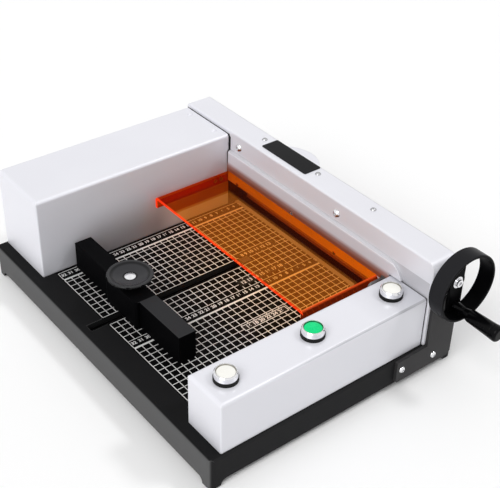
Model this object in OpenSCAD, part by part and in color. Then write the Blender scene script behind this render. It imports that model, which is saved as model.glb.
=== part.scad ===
// Electric paper cutter: table with back gauge, hinged see-through guard, hand-cranked clamp
// and a motor-driven blade that comes down on a slant.
// Lengths in millimetres. Working coordinates: X along the cut, Y away from the operator, Z up,
// zero at the table top, the front border of the printed grid and the left ruler line.
// placed() moves them to the part's own origin: bottom centre of its outer box.

/* [Table] */
// Clear width between the two side boxes
throat_w = 329.5; // [300:0.5:420]
// Cut line behind the front border of the grid
cut_y = 320; // [300:1:400]
// Table in front of the grid border
front_margin = 35.3; // [30:0.1:60]
// Table behind the cut line
rear_margin = 23; // [23:0.5:60]
// Thickness of the table plate
table_t = 8; // [7.5:0.5:12]
// Width of the gauge slot
slot_w = 13; // [11:0.5:18]
// Centre line of the gauge slot from the left ruler line
slot_x = 121.5; // [90:0.5:150]
// Rear end of the gauge slot from the grid border
slot_y1 = 217; // [205:1:225]

/* [Base] */
// Height of the base skirt
base_h = 37; // [30:1:60]
// Wall of the base skirt
skirt_t = 5; // [3:0.5:8]
// Radius of the base's upright corners
base_corner_r = 8; // [2:0.5:14]
// Radius of the table's rim
base_edge_r = 4.5; // [1:0.5:7]
// Width of a foot at its sole
foot_w = 15; // [14:0.5:40]
// Depth of the feet below the skirt
foot_h = 7.5; // [5:0.5:20]
// Rubber pad under each foot
pad_t = 2; // [1.5:0.5:6]

/* [Side boxes] */
// Width of the left box
left_w = 102; // [98:0.5:130]
// Height of the left box
left_h = 115.2; // [110:0.2:117]
// Width of the right box
right_w = 61.5; // [59:0.5:90]
// Height of the right box
right_h = 70.4; // [66:0.2:71]
// Front face of both boxes before the grid border
box_front = 19; // [14:0.5:28]
// Sheet thickness of the covers
sheet_t = 2; // [1.5:0.1:2.4]
// Radius of the boxes' top edges
box_r = 4.5; // [3:0.5:9]
// Radius of the boxes' upright corners
box_corner_r = 2; // [1.6:0.1:6]

/* [Gantry] */
// Height of the gantry top
gantry_h = 121; // [112:0.5:130]
// Gantry front face before the cut line
gantry_front = 34.5; // [34:0.5:42]
// Depth of the flat gantry top
gantry_top_d = 37; // [35:0.5:40]
// Clear height of the paper throat
throat_h = 43; // [42.8:0.1:43.2]
// Depth of the raised blister on the gantry front
blister_d = 4.5; // [3:0.5:6]
// Top edge of the blister
blister_h = 91; // [84:0.5:98]
// Corner radius of the blister
blister_r = 28; // [12:1:32]
// Radius of the half-round bulge over the crown gear
bulge_r = 46; // [45.5:0.5:48]

/* [Guard] */
// Height of the guard panel's top face
guard_h = 61.5; // [60:0.5:64]
// Depth of the guard from front to rear edge
guard_d = 121; // [90:1:150]
// Thickness of the guard sheet
guard_t = 4; // [3:0.5:5]
// Depth of the guard's turned-down sides
guard_side = 17; // [14:0.5:18]

/* [Blade] */
// Straight-down stroke of the blade
blade_drop = 44; // [36:0.5:44]
// Slant of the blade's path from the vertical
blade_slant = 30; // [28:1:30]
// Blade thickness
blade_t = 4; // [3:0.5:5]
// Carrier plate thickness
carrier_t = 6.5; // [6:0.5:8]
// Module of rack and drive pinion
drive_m = 2; // [1.8:0.1:2]

/* [Clamp] */
// Clamp beam thickness
clamp_t = 14.5; // [14:0.5:15]
// Clamp stroke
clamp_drop = 41; // [30:0.5:41]
// Clamp screw radius
screw_r = 5; // [4:0.1:5]
// Module of crown gear and shaft pinion
crown_m = 1.25; // [1.2:0.01:1.25]

/* [Handwheel] */
// Outer radius of the handwheel
wheel_r = 45; // [43.5:0.1:48]
// Depth of the rim
rim_w = 22; // [14:0.5:26]
// Wall of the rim
rim_t = 4; // [3:0.5:4.5]
// Length of the crank grip
grip_l = 70.5; // [50:0.5:90]
// Largest radius of the crank grip
grip_r = 10; // [8:0.5:11]

/* [Back gauge] */
// Length of the gauge bar
gauge_l = 239; // [200:1:280]
// Depth of the gauge bar
gauge_d = 24; // [24:0.5:30]
// Height of the gauge bar
gauge_h = 40; // [36:0.5:41]
// Knob radius
knob_r = 29.5; // [26:0.5:30]

/* [Buttons] */
// Bezel radius
bezel_r = 13.8; // [13.4:0.1:16]
// Height of the bezels above the box
bezel_h = 11.8; // [11.4:0.2:16]
// Button travel
button_travel = 2; // [1:0.5:2]

/* [Hidden] */
$fn = 64;

// Clearances
run = 0.05;
pin_fit = 0.1;
slide = 0.3;
seam = 2;
over = 1;

// Outline in X
throat_x0 = -4;
throat_x1 = throat_x0 + throat_w;
left_x0 = throat_x0 - left_w;
right_x1 = throat_x1 + right_w;
base_lip = 3;
box_in_r = box_r - sheet_t + 0.5;
box_in_corner = max(box_corner_r - sheet_t, 0) + 0.5;
base_x0 = left_x0 - base_lip;
base_x1 = right_x1 + base_lip;
gantry_x0 = left_x0;
gantry_x1 = base_x1;
left_pass_z = min(left_h - 2, gantry_h - 7);

// Outline in Y
base_y0 = -front_margin;
base_y1 = cut_y + rear_margin;
box_y0 = -box_front;
gantry_y0 = cut_y - gantry_front;
gantry_y1 = gantry_y0 + gantry_top_d;
box_y1 = gantry_y0 - seam;
blister_y = gantry_y0 - blister_d;
clamp_y1 = cut_y - 1;
clamp_y0 = clamp_y1 - clamp_t;
screw_y = clamp_y1 - 7;
carrier_y0 = cut_y + blade_t;
carrier_y1 = carrier_y0 + carrier_t;
portal_y0 = carrier_y1 + 0.8;
portal_t = 6;
portal_y1 = portal_y0 + portal_t;
rear_y1 = portal_y1 + 1.7 + sheet_t;
rear_z = gantry_h - 21;

// Feet and origin
sole_z = -base_h - foot_h;
lift = base_h + foot_h + pad_t;
wheel_y = screw_y;
wheel_x0 = gantry_x1 + 11.5;
bar_t = 4;
crank_arm = 33.5;
spindle_r = 4;
grip_cap = 9;
grip_neck = 1.5;
grip_x0 = wheel_x0 + bar_t + 0.5;
grip_x1 = grip_x0 + grip_l;
mid_x = (base_x0 + grip_x1) / 2;
mid_y = (base_y0 + max(base_y1, wheel_y + wheel_r)) / 2;

// Clamp and its gears
clamp_z0 = 42;
clamp_z1 = gantry_h - 41;
screw_x = 111;
shaft_z = gantry_h - 26.5;
shaft_r = 5;
pinion_teeth = 16;
crown_teeth = 32;
pinion_r = crown_m * pinion_teeth / 2;
crown_r = crown_m * crown_teeth / 2;
tooth_l = 4;
pinion_x0 = screw_x + crown_r - tooth_l / 2;
pinion_x1 = pinion_x0 + tooth_l;
crown_z = shaft_z + pinion_r;
crown_root = crown_z + 1.4 * crown_m;
crown_top = crown_root + 3.8;
nut_z1 = clamp_z1 + 11;
collar_z0 = nut_z1 + 0.4;
arm_z0 = shaft_z - 1;
arm_z1 = arm_z0 + 7.5;
bush_wall = 3;
guide_w = 20;
guide_h = gantry_h - 33;
guide_x0 = throat_x0 - 0.5;
guide_x1 = throat_x1 + 0.5;
tongue_l = 6.3;
tongue_w = 7.5;

// Blade and its drive
blade_z0 = 43.6;
blade_z1 = gantry_h - 41;
blade_x0 = -2;
blade_x1 = throat_x1 + 26.5;
stroke = blade_drop / cos(blade_slant);
drive_x = -53;
drive_z = 57;
drive_teeth = 15;
drive_r = drive_m * drive_teeth / 2;
drive_shaft_r = 6;
rack_x = drive_x + drive_r * cos(blade_slant);
rack_z = drive_z - drive_r * sin(blade_slant);
band_z0 = 52;
band_z1 = gantry_h - 31;
pin_z = band_z1 - 10;
pin_inset = 9;
pin_left_x = rack_x + (pin_z - rack_z) * tan(blade_slant) + pin_inset / cos(blade_slant);
pin_right_x = throat_x1 + 39.5;
guide_pin_r = 6.5;
slot_r = guide_pin_r + 0.2;
portal_x0 = -88;
portal_x1 = right_x1 - 2.5;
portal_z0 = 46;
portal_z1 = gantry_h - 23;
portal_foot_h = 6;
blade_screw_in = 32;
blade_screw_step = (blade_x1 - blade_x0 - 2 * blade_screw_in) / 5;
blade_screw_x = [for (k = [0 : 5]) blade_x0 + blade_screw_in + k * blade_screw_step];
blade_screw_z = (band_z0 + blade_z1) / 2;

// Motor
motor_r = 32;
motor_y0 = 40;
terminal_w = 36;
terminal_l = 50;
gearbox_y1 = box_y1 - 21.5;
gearbox_l = 72;
gearbox_y0 = gearbox_y1 - gearbox_l;
gearbox_half = 35;
motor_plate = gearbox_half + 4;
bracket_t = 8;
motor_foot_y = gearbox_y1 - 13;

// Cutting stick
stick_y0 = cut_y - 3;
stick_y1 = cut_y + 7;
stick_x0 = blade_x0 - blade_drop * tan(blade_slant) - 2.6;
stick_x1 = throat_x1 + 3.5;
stick_t = 5;
stick_drop = 0.8;

// Guard
guard_x0 = throat_x0 + 3;
guard_x1 = throat_x1 - 14.5;
guard_y1 = blister_y - 3;
guard_y0 = guard_y1 - guard_d;
guard_z0 = guard_h - guard_side;
pivot_y = guard_y1 - 14;
pivot_z = guard_h - 8;
pivot_r = 2.5;
pivot_head_r = 3.4;
head_gap = 1;
lug_x = guard_x1 + 3;
lug_w = 10.5;
lug_screw_x = lug_x + 7;
guard_tab_z = [pivot_z - 4, pivot_z + 6];

// Back gauge
gauge_x0 = 3;
gauge_y0 = 27.5;
gauge_y1 = gauge_y0 + gauge_d;
gauge_lift = 0.4;
boss_x = [slot_x - 36.5, slot_x + 36.5];
boss_y0 = gauge_y0 - 5.5;
knob_y = gauge_y0 + 10.5;
stud_r = 4;
pad_z = gauge_h + 3;
knob_z0 = pad_z + slide;
knob_h = 14;
knob_rim = 1.7;
knob_dish = 9;
dish_r = (pow(knob_r - 2 * knob_rim, 2) + pow(knob_h - knob_dish, 2)) / (2 * (knob_h - knob_dish));
cap_r = 7;
cap_z = knob_dish - 0.8;
lobes = 10;
key_y = [knob_y - 8, knob_y + 8];
tee_z0 = -table_t - 6;
tee_half = slot_w / 2 + 5;

// Buttons
button_x = throat_x1 + right_w / 2;
button_inset = 29;
button_y = [for (k = [0 : 2]) box_y0 + button_inset + k * (box_y1 - box_y0 - 2 * button_inset) / 2];
gasket_t = 4.6;
bezel_z0 = right_h + gasket_t;
bezel_z1 = bezel_z0 + bezel_h - gasket_t;
barrel_z0 = right_h - 12.4;
barrel_r = 10.9;
bezel_floor = bezel_z0 + 1.4;
lens_r = bezel_r - 2.6;
lens_z1 = bezel_z1 - 0.9;
lens_z0 = bezel_floor + button_travel + 0.4;
lens_dome = 0.8;

// Screw positions
top_screw_r = 4;
label_w = 91;
label_d = 27.5;
label_x0 = screw_x - 54;
left_screw_x = [left_x0 + 22, throat_x0 - 22];
left_screw_y = box_y1 - 9.5;
gantry_screw_x = [45, 157, 262];
gantry_screw_y = gantry_y0 + 23.5;
front_screw_x = [17, 221];
front_screw_z = blister_h + 6 + (gantry_h - blister_h) / 6;
blister_screw = [slot_x + 18, guard_h - 1.5];
rear_screw_x = [-80, 30, throat_x1 - 35, portal_x1 - 8];
rear_screw_z = 66;
bracket_t2 = 4.5;
bracket_y0 = gantry_y0 + 3.5;
bracket_reach = 46.5;
bracket_rise = 3.5;
bracket_x1 = base_x1 + bracket_t2;
bracket_z1 = shaft_z - 28.5;
bracket_screw = [[gantry_y0 - bracket_reach + 8.5, -16], [gantry_y0 + 16, -19.8]];
bolt_r = 3;
bolt_len = 5.5;
bolts = [[portal_x0 + 8.5, screw_y], [portal_x1 - 17, screw_y], [guide_x0 - 13, screw_y - 3],
    [guide_x1 + 13, screw_y - 3], [drive_x - 25, motor_foot_y], [drive_x + 25, motor_foot_y]];
inlet_y = [8, 34];
inlet_z = [50, 70];

// Helpers

module placed() translate([-mid_x, -mid_y, lift]) children();

module block(x, y, z)
    translate([x[0], y[0], z[0]]) cube([x[1] - x[0], y[1] - y[0], z[1] - z[0]]);

module rod_x(x0, x1, y, z, r) translate([x0, y, z]) rotate([0, 90, 0]) cylinder(h = x1 - x0, r = r);

module rod_y(y0, y1, x, z, r) translate([x, y0, z]) rotate([-90, 0, 0]) cylinder(h = y1 - y0, r = r);

module rod_z(z0, z1, x, y, r) translate([x, y, z0]) cylinder(h = z1 - z0, r = r);

// Flat outlines drawn in XZ, YZ or XY and given a depth
module along_y(y0, y1) translate([0, y1, 0]) rotate([90, 0, 0]) linear_extrude(y1 - y0) children();

module along_x(x0, x1) translate([x0, 0, 0]) rotate([90, 0, 90]) linear_extrude(x1 - x0) children();

module along_z(z0, z1) translate([0, 0, z0]) linear_extrude(z1 - z0) children();

module nip(r) difference() {
    translate([-over, -over]) square(r + over);
    translate([r, r]) circle(r);
}

// Rectangle with its own radius at each corner, from lower left round to upper left
module soft_rect(a, b, r) difference() {
    translate([a[0], b[0]]) square([a[1] - a[0], b[1] - b[0]]);
    if (r[0] > 0) translate([a[0], b[0]]) nip(r[0]);
    if (r[1] > 0) translate([a[1], b[0]]) mirror([1, 0]) nip(r[1]);
    if (r[2] > 0) translate([a[1], b[1]]) rotate(180) nip(r[2]);
    if (r[3] > 0) translate([a[0], b[1]]) mirror([0, 1]) nip(r[3]);
}

// Box open at the rear with rounded front, sides and top
module soft_box(x, y, z, r, corner) intersection() {
    along_z(z[0], z[1]) soft_rect(x, y, [corner, corner, 0, 0]);
    along_y(y[0] - over, y[1]) soft_rect(x, z, [0, 0, r, r]);
    along_x(x[0] - over, x[1] + over) soft_rect([y[0], y[1]], z, [0, 0, 0, r]);
}

// Shallow dome on a flat foot, axis up
module dome(r, h) intersection() {
    translate([0, 0, h - (r * r + h * h) / (2 * h)]) sphere((r * r + h * h) / (2 * h));
    cylinder(h = h + over, r = r + over);
}

function involute(a) = tan(a) * 180 / PI - a;

function flank(r, rb, half) = half + involute(20) - involute(acos(min(1, rb / r)));

// Spur gear outline with one tooth on the first axis; thick is measured on the pitch circle
module gear_outline(teeth, m, thick, add, ded) {
    rp = m * teeth / 2;
    rb = rp * cos(20);
    root = rp - ded;
    tip = rp + add;
    half = thick / 2 / rp * 180 / PI;
    radii = concat([root - 0.3], [for (k = [0 : 4]) rb + (tip - rb) * k / 4]);
    right = [for (r = radii) r * [cos(flank(max(r, rb), rb, half)), -sin(flank(max(r, rb), rb, half))]];
    left = [for (k = [len(right) - 1 : -1 : 0]) [right[k][0], -right[k][1]]];
    circle(root);
    for (k = [0 : teeth - 1]) rotate(k * 360 / teeth) polygon(concat(right, left));
}

// Base

module foot_side(a0, a1) {
    for (s = [0, 1]) translate([s == 0 ? a0 : a1, 0]) mirror([s, 0]) {
        translate([0, sole_z]) square([foot_w, -sole_z - table_t]);
        difference() {
            translate([foot_w - over, sole_z]) square([foot_h + over, foot_h]);
            translate([foot_w + foot_h, sole_z]) circle(foot_h);
        }
    }
}

module base_outline(inset)
    soft_rect([base_x0 + inset, base_x1 - inset], [base_y0 + inset, base_y1 - inset],
        [for (k = [0 : 3]) max(base_corner_r - inset, 1)]);

module base_tray() placed() color("#26282a") difference() {
    union() {
        difference() {
            intersection() {
                along_z(-base_h, 0) base_outline(0);
                along_y(base_y0 - over, base_y1 + over)
                    soft_rect([base_x0, base_x1], [-base_h, 0], [0, 0, base_edge_r, base_edge_r]);
                along_x(base_x0 - over, base_x1 + over)
                    soft_rect([base_y0, base_y1], [-base_h, 0], [0, 0, base_edge_r, base_edge_r]);
            }
            along_z(-base_h - over, -table_t) base_outline(skirt_t);
        }
        intersection() {
            along_y(base_y0, base_y1) foot_side(base_x0, base_x1);
            along_x(base_x0, base_x1) foot_side(base_y0, base_y1);
            along_z(sole_z, -table_t + over) base_outline(0);
        }
        for (x = [slot_x - 70, slot_x + 90])
            block([x, x + 6], [base_y0 + 1, cut_y - 40], [-base_h + 8, -table_t + over]);
        block([base_x0 + 1, base_x1 - 1], [cut_y - 46, cut_y - 40], [-base_h + 8, -table_t + over]);
        block([slot_x - tee_half - 4, slot_x + tee_half + 4], [base_y0 + 1, slot_y1 + 6],
            [tee_z0 - 5, -table_t + over]);
    }
    block([slot_x - tee_half - 0.6, slot_x + tee_half + 0.6], [base_y0 + skirt_t + 3, slot_y1 + 8],
        [tee_z0 - 2, -table_t]);
    block([slot_x - slot_w / 2, slot_x + slot_w / 2], [-24.5, slot_y1], [-table_t - over, over]);
    block([stick_x0, stick_x1], [stick_y0, stick_y1], [-stick_t - stick_drop, over]);
    for (b = bolts) rod_z(-table_t - over, over, b[0], b[1], bolt_r + pin_fit);
    for (b = bracket_screw) rod_x(base_x1 - 12, base_x1 + over, b[0], b[1], 3.5 + pin_fit);
}

module foot_pads() placed() color("#161616")
    for (x = [base_x0 + foot_w / 2, base_x1 - foot_w / 2], y = [base_y0 + foot_w / 2, base_y1 - foot_w / 2])
        rod_z(sole_z - pad_t, sole_z, x, y, foot_w * 0.4);

module cutting_stick() placed() color("#d8d2c0")
    block([stick_x0 + 0.2, stick_x1 - 0.2], [stick_y0 + 0.2, stick_y1 - 0.2],
        [-stick_t - stick_drop, -stick_drop]);

// Covers

module left_cover() placed() color("#dfe1e2") difference() {
    soft_box([left_x0, throat_x0], [box_y0, box_y1], [0, left_h], box_r, box_corner_r);
    soft_box([left_x0 + sheet_t, throat_x0 - sheet_t], [box_y0 + sheet_t, box_y1 + over],
        [-over, left_h - sheet_t], box_in_r, box_in_corner);
    for (x = left_screw_x) rod_z(left_h - 5, left_h + over, x, left_screw_y, 2 + pin_fit);
    rod_x(throat_x0 - 5, throat_x0 + over, pivot_y, pivot_z, pivot_r);
    block([left_x0 - over, left_x0 + 5], inlet_y, inlet_z);
}

module right_cover() placed() color("#dfe1e2") difference() {
    soft_box([throat_x1, right_x1], [box_y0, box_y1], [0, right_h], box_r, box_corner_r);
    soft_box([throat_x1 + sheet_t, right_x1 - sheet_t], [box_y0 + sheet_t, box_y1 + over],
        [-over, right_h - sheet_t], box_in_r, box_in_corner);
    for (y = button_y) rod_z(right_h - 5, right_h + over, button_x, y, barrel_r + 0.1);
}

module gantry_side() difference() {
    polygon([[gantry_y0, 0], [gantry_y0, gantry_h], [gantry_y1, gantry_h],
        [rear_y1, rear_z], [rear_y1, 0]]);
    translate([gantry_y0, gantry_h]) mirror([0, 1]) nip(2.5);
}

module blister_outline(inset) difference() {
    soft_rect([throat_x0 + 0.3 + inset, throat_x1 + 21.5 - inset], [throat_h + inset, blister_h - inset],
        [0, 0, blister_r - inset, 0]);
    translate([throat_x1 - 0.3 - inset, 0]) square([60, right_h + 1.6 + inset]);
}

module blister(inset, y0, y1) intersection() {
    along_y(y0, y1) blister_outline(inset);
    along_x(throat_x0 - over, throat_x1 + 40)
        soft_rect([y0, y1], [throat_h + inset, blister_h - inset], [0, 0, 0, 4 - inset]);
}

module bulge(r, z0, z1) intersection() {
    rod_z(z0, z1, screw_x, screw_y - 21, r);
    block([screw_x - 60, screw_x + 60], [gantry_y1 - 0.6, gantry_y1 + 60], [z0, z1]);
}

module gantry_shell() placed() color("#dfe1e2") {
    difference() {
        union() {
            intersection() {
                along_x(gantry_x0, gantry_x1) gantry_side();
                along_y(gantry_y0 - over, rear_y1 + over)
                    soft_rect([gantry_x0, gantry_x1], [0, gantry_h], [0, 0, 12, 4]);
            }
            blister(0, blister_y, gantry_y0 + over);
            bulge(bulge_r, rear_z + 4.7, gantry_h);
        }
        intersection() {
            along_x(gantry_x0 + sheet_t, gantry_x1 - sheet_t)
                difference() {
                    translate([gantry_y0 + sheet_t, -over])
                        square([rear_y1 - gantry_y0, gantry_h + 2 * over]);
                    translate([gantry_y0, gantry_h - sheet_t]) square([gantry_top_d, 10]);
                    translate([gantry_y1, rear_z + 4]) square([40, 40]);
                }
            along_y(gantry_y0, rear_y1 + 2 * over)
                soft_rect([gantry_x0 + sheet_t, gantry_x1 - sheet_t], [-2 * over, gantry_h - sheet_t],
                    [0, 0, 10, 2]);
        }
        rear_opening();
        blister(sheet_t, blister_y + sheet_t, gantry_y0 + sheet_t + over);
        block([gantry_x0 + sheet_t, throat_x1 - 0.3], [gantry_y0 - 20, gantry_y0 + 5], [-over, throat_h]);
        block([gantry_x0 + sheet_t, throat_x0 + 0.3], [gantry_y0 - over, gantry_y0 + 5],
            [-over, left_pass_z]);
        for (x = gantry_screw_x) rod_z(gantry_h - 5, gantry_h + over, x, gantry_screw_y, 2 + pin_fit);
        for (x = front_screw_x) rod_y(gantry_y0 - over, gantry_y0 + 5, x, front_screw_z, 3 + pin_fit);
        for (z = guard_tab_z) rod_y(blister_y - over, blister_y + 5, lug_screw_x, z, 1.5 + pin_fit);
        rod_y(blister_y - over, blister_y + 5, blister_screw[0], blister_screw[1], 3 + pin_fit);
        rod_x(gantry_x1 - 5, gantry_x1 + over, wheel_y, shaft_z, 11.5 + pin_fit);
    }
    block([throat_x0 + 0.3, throat_x1 - 0.3], [blister_y + 0.5, clamp_y0 - 1],
        [throat_h, throat_h + sheet_t]);
}

// Space behind the flat top, kept clear except for the bulge and its wall
module rear_opening() difference() {
    block([gantry_x0 + sheet_t, gantry_x1 - sheet_t], [gantry_y1 - 0.001, rear_y1 + over],
        [rear_z - 10, gantry_h + over]);
    difference() {
        bulge(bulge_r, rear_z + 4.7, gantry_h + over);
        bulge(bulge_r - sheet_t, rear_z, gantry_h - sheet_t);
    }
}

module rear_cover() placed() color("#d3d5d6") difference() {
    union() {
        intersection() {
            along_x(gantry_x0 + sheet_t + slide, gantry_x1 - sheet_t - slide)
                polygon([[gantry_y1 + slide, gantry_h], [rear_y1, rear_z], [rear_y1, 0],
                    [rear_y1 - sheet_t, 0], [rear_y1 - sheet_t, rear_z - 1.2],
                    [gantry_y1 + slide, gantry_h - 3]]);
            along_y(gantry_y0, rear_y1 + over)
                soft_rect([gantry_x0 + sheet_t + slide, gantry_x1 - sheet_t - slide], [0, gantry_h],
                    [0, 0, 12, 4]);
        }
        for (x = rear_screw_x) rod_y(portal_y1, rear_y1 - sheet_t / 2, x, rear_screw_z, 6);
    }
    block([throat_x0, throat_x1], [rear_y1 - 10, rear_y1 + over], [-over, portal_z0]);
    rod_z(rear_z + 4.4, gantry_h + over, screw_x, screw_y - 21, bulge_r + slide);
    for (x = rear_screw_x) rod_y(portal_y1 - over, rear_y1 + over, x, rear_screw_z, 2 + pin_fit);
}

module label_plate() placed() color("#1b1c1e")
    along_z(gantry_h, gantry_h + 1)
        soft_rect([label_x0, label_x0 + label_w], [gantry_y1 - 1 - label_d, gantry_y1 - 1], [2, 2, 2, 2]);

module side_bracket() placed() color("#3b3d40") difference() {
    along_x(base_x1, bracket_x1) difference() {
        polygon([[gantry_y0 - bracket_reach, -base_h + bracket_rise + 2], [gantry_y0 - bracket_reach, -2.5],
            [bracket_y0, -0.5], [bracket_y0, bracket_z1], [rear_y1 - 8, bracket_z1],
            [rear_y1 - 8, -base_h + bracket_rise + 5], [rear_y1 - 13, -base_h + bracket_rise],
            [gantry_y0 - bracket_reach + 2, -base_h + bracket_rise]]);
        translate([bracket_y0, bracket_z1]) mirror([0, 1]) nip(6);
        translate([rear_y1 - 8, bracket_z1]) rotate(180) nip(6);
    }
    for (b = bracket_screw) rod_x(base_x1 - over, bracket_x1 + over, b[0], b[1], 3.5 + pin_fit);
}

// Fasteners of the covers and the frame

module top_screw() {
    dome(top_screw_r, 2.6);
    translate([0, 0, -5]) cylinder(h = 5.2, r = 2);
}

module socket_screw(r, h, shank_r, len) {
    difference() {
        union() {
            dome(r, h);
            translate([0, 0, -len]) cylinder(h = len + 0.2, r = shank_r);
        }
        translate([0, 0, h - 1.6]) cylinder(h = 3, r = r * 0.42, $fn = 6);
    }
}

module top_screws() placed() color("#d3d5d6") {
    for (x = left_screw_x) translate([x, left_screw_y, left_h]) top_screw();
    for (x = gantry_screw_x) translate([x, gantry_screw_y, gantry_h]) top_screw();
}

module front_screws() placed() color("#d9dcdf") {
    for (x = front_screw_x) translate([x, gantry_y0, front_screw_z]) rotate([90, 0, 0])
        socket_screw(6, 3.6, 3, 6);
    translate([blister_screw[0], blister_y, blister_screw[1]]) rotate([90, 0, 0]) difference() {
        translate([0, 0, -4]) cylinder(h = 4.2, r = 3);
        translate([0, 0, -1.4]) cylinder(h = 3, r = 1.5, $fn = 6);
    }
}

module rear_screws() placed() color("#d3d5d6")
    for (x = rear_screw_x) translate([x, rear_y1, rear_screw_z]) rotate([-90, 0, 0])
        socket_screw(4.5, 2.6, 2, rear_y1 - portal_y0 - 0.3);

module bracket_screws() placed() color("#d9dcdf")
    for (b = bracket_screw) translate([bracket_x1, b[0], b[1]]) rotate([0, 90, 0])
        socket_screw(4.5, 3.2, 3.5, bracket_t2 + 11);

module frame_bolts() placed() color("#7d8083")
    for (b = bolts) {
        rod_z(-table_t - 5, -table_t, b[0], b[1], 5);
        rod_z(-table_t - over, bolt_len, b[0], b[1], bolt_r);
    }

// Frame inside the gantry

module slot_path(x) translate([x, pin_z]) rotate(-blade_slant)
    soft_rect([-slot_r, slot_r], [-stroke - slot_r, slot_r], [for (k = [0 : 3]) slot_r - 0.2]);

module portal_frame() placed() color("#8b8f93") difference() {
    union() {
        along_y(portal_y0, portal_y1) difference() {
            translate([portal_x0, 0]) square([portal_x1 - portal_x0, portal_z1]);
            translate([throat_x0, -over]) square([throat_w + 0.5, portal_z0 + over]);
            slot_path(pin_left_x);
            slot_path(pin_right_x);
            translate([drive_x, drive_z]) circle(drive_shaft_r + bush_wall + 0.01);
            for (x = rear_screw_x) translate([x, rear_screw_z]) circle(2 + pin_fit);
        }
        block([portal_x0, portal_x0 + 17], [screw_y - 12, portal_y0 + over], [0, portal_foot_h]);
        block([portal_x1 - 34, portal_x1], [screw_y - 12, portal_y0 + over], [0, portal_foot_h]);
    }
    for (k = [0, 1]) rod_z(-over, 20, bolts[k][0], bolts[k][1], bolt_r + pin_fit);
}

module clamp_guide() difference() {
    block([-guide_w, 0], [clamp_y0 - 1.5, clamp_y1 + 0.5], [0, guide_h]);
    block([-6, over], [screw_y - tongue_w / 2 - slide, screw_y + tongue_w / 2 + slide],
        [-over, guide_h + over]);
    rod_z(-over, bolt_len + 0.5, -13, screw_y - 3, bolt_r + pin_fit);
}

module left_clamp_guide() placed() color("#9a9da0") translate([guide_x0, 0, 0]) clamp_guide();

module right_clamp_guide() placed() color("#9a9da0")
    translate([guide_x1, 0, 0]) mirror([1, 0, 0]) clamp_guide();

module gear_bracket() placed() color("#85898c") difference() {
    union() {
        block([screw_x - 15, pinion_x1 + 17], [carrier_y0 + 0.5, portal_y0], [arm_z0, arm_z1]);
        block([screw_x - 15, pinion_x1 + 17], [portal_y0 - over, portal_y1 - 2.3], [portal_z1, arm_z1]);
        block([screw_x - 15, screw_x + 14], [screw_y - 10, portal_y0], [arm_z0, arm_z1]);
        block([pinion_x1 + 7, pinion_x1 + 17], [screw_y, portal_y0], [arm_z0, arm_z1]);
        rod_x(pinion_x1 + 7, pinion_x1 + 17, wheel_y, shaft_z, 10);
    }
    rod_z(arm_z0 - over, arm_z1 + over, screw_x, screw_y, screw_r + bush_wall);
    rod_x(pinion_x1, pinion_x1 + 20, wheel_y, shaft_z, shaft_r + bush_wall);
}

module screw_bush() placed() color("#b08d57") difference() {
    rod_z(arm_z0, arm_z1, screw_x, screw_y, screw_r + bush_wall);
    rod_z(arm_z0 - over, arm_z1 + over, screw_x, screw_y, screw_r + run);
}

module shaft_bush() placed() color("#b08d57") difference() {
    rod_x(pinion_x1 + 7, pinion_x1 + 17, wheel_y, shaft_z, shaft_r + bush_wall);
    rod_x(pinion_x1, pinion_x1 + 20, wheel_y, shaft_z, shaft_r + run);
}

module bearing_flange() placed() color("#c9ccce") difference() {
    union() {
        rod_x(gantry_x1, gantry_x1 + 5.5, wheel_y, shaft_z, 24);
        rod_x(gantry_x1 - 8, gantry_x1 + over, wheel_y, shaft_z, 11.5);
    }
    rod_x(gantry_x1 - 20, gantry_x1 + 20, wheel_y, shaft_z, shaft_r + run);
}

module drive_bush() placed() color("#b08d57") difference() {
    rod_y(portal_y0, portal_y1, drive_x, drive_z, drive_shaft_r + bush_wall);
    rod_y(portal_y0 - over, portal_y1 + over, drive_x, drive_z, drive_shaft_r + run);
}

// Motor and electrics

module motor() placed() color("#54585c") {
    rod_y(motor_y0 + 10, gearbox_y0, drive_x, drive_z, motor_r);
    rod_y(motor_y0, motor_y0 + 10, drive_x, drive_z, motor_r - 5);
    block([drive_x - terminal_w / 2, drive_x + terminal_w / 2],
        [gearbox_y0 - 30 - terminal_l, gearbox_y0 - 30], [drive_z, drive_z + motor_r + 10]);
}

module gearbox() placed() color("#6d7276") difference() {
    union() {
        along_y(gearbox_y0, gearbox_y1)
            soft_rect([drive_x - gearbox_half, drive_x + gearbox_half],
                [drive_z - gearbox_half, drive_z + gearbox_half], [6, 6, 6, 6]);
        rod_y(gearbox_y1 - over, gearbox_y1 + 6, drive_x, drive_z, 16);
    }
    rod_y(gearbox_y1 - 8, gearbox_y1 + 8, drive_x, drive_z, drive_shaft_r + run);
}

module gearbox_bracket() placed() color("#8b8f93") difference() {
    union() {
        block([drive_x - motor_plate, drive_x + motor_plate], [gearbox_y1, gearbox_y1 + bracket_t],
            [0, drive_z + motor_plate]);
        block([drive_x - motor_plate, drive_x + motor_plate], [motor_foot_y - 13, gearbox_y1 + over],
            [0, 6]);
    }
    rod_y(gearbox_y1 - over, gearbox_y1 + 20, drive_x, drive_z, 16.2);
    for (k = [4, 5]) rod_z(-over, 20, bolts[k][0], bolts[k][1], bolt_r + pin_fit);
}

module control_board() placed() color("#2f6b45") {
    block([drive_x - 32, drive_x + 34], [-8, 34], [6, 7.6]);
    for (x = [drive_x - 28, drive_x + 30], y = [-4, 30]) rod_z(0, 6.5, x, y, 3);
    block([drive_x - 26, drive_x + 2], [0, 26], [7, 30]);
    block([drive_x + 8, drive_x + 28], [16, 30], [7, 22]);
    block([drive_x + 6, drive_x + 30], [-6, 4], [7, 18]);
}

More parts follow.
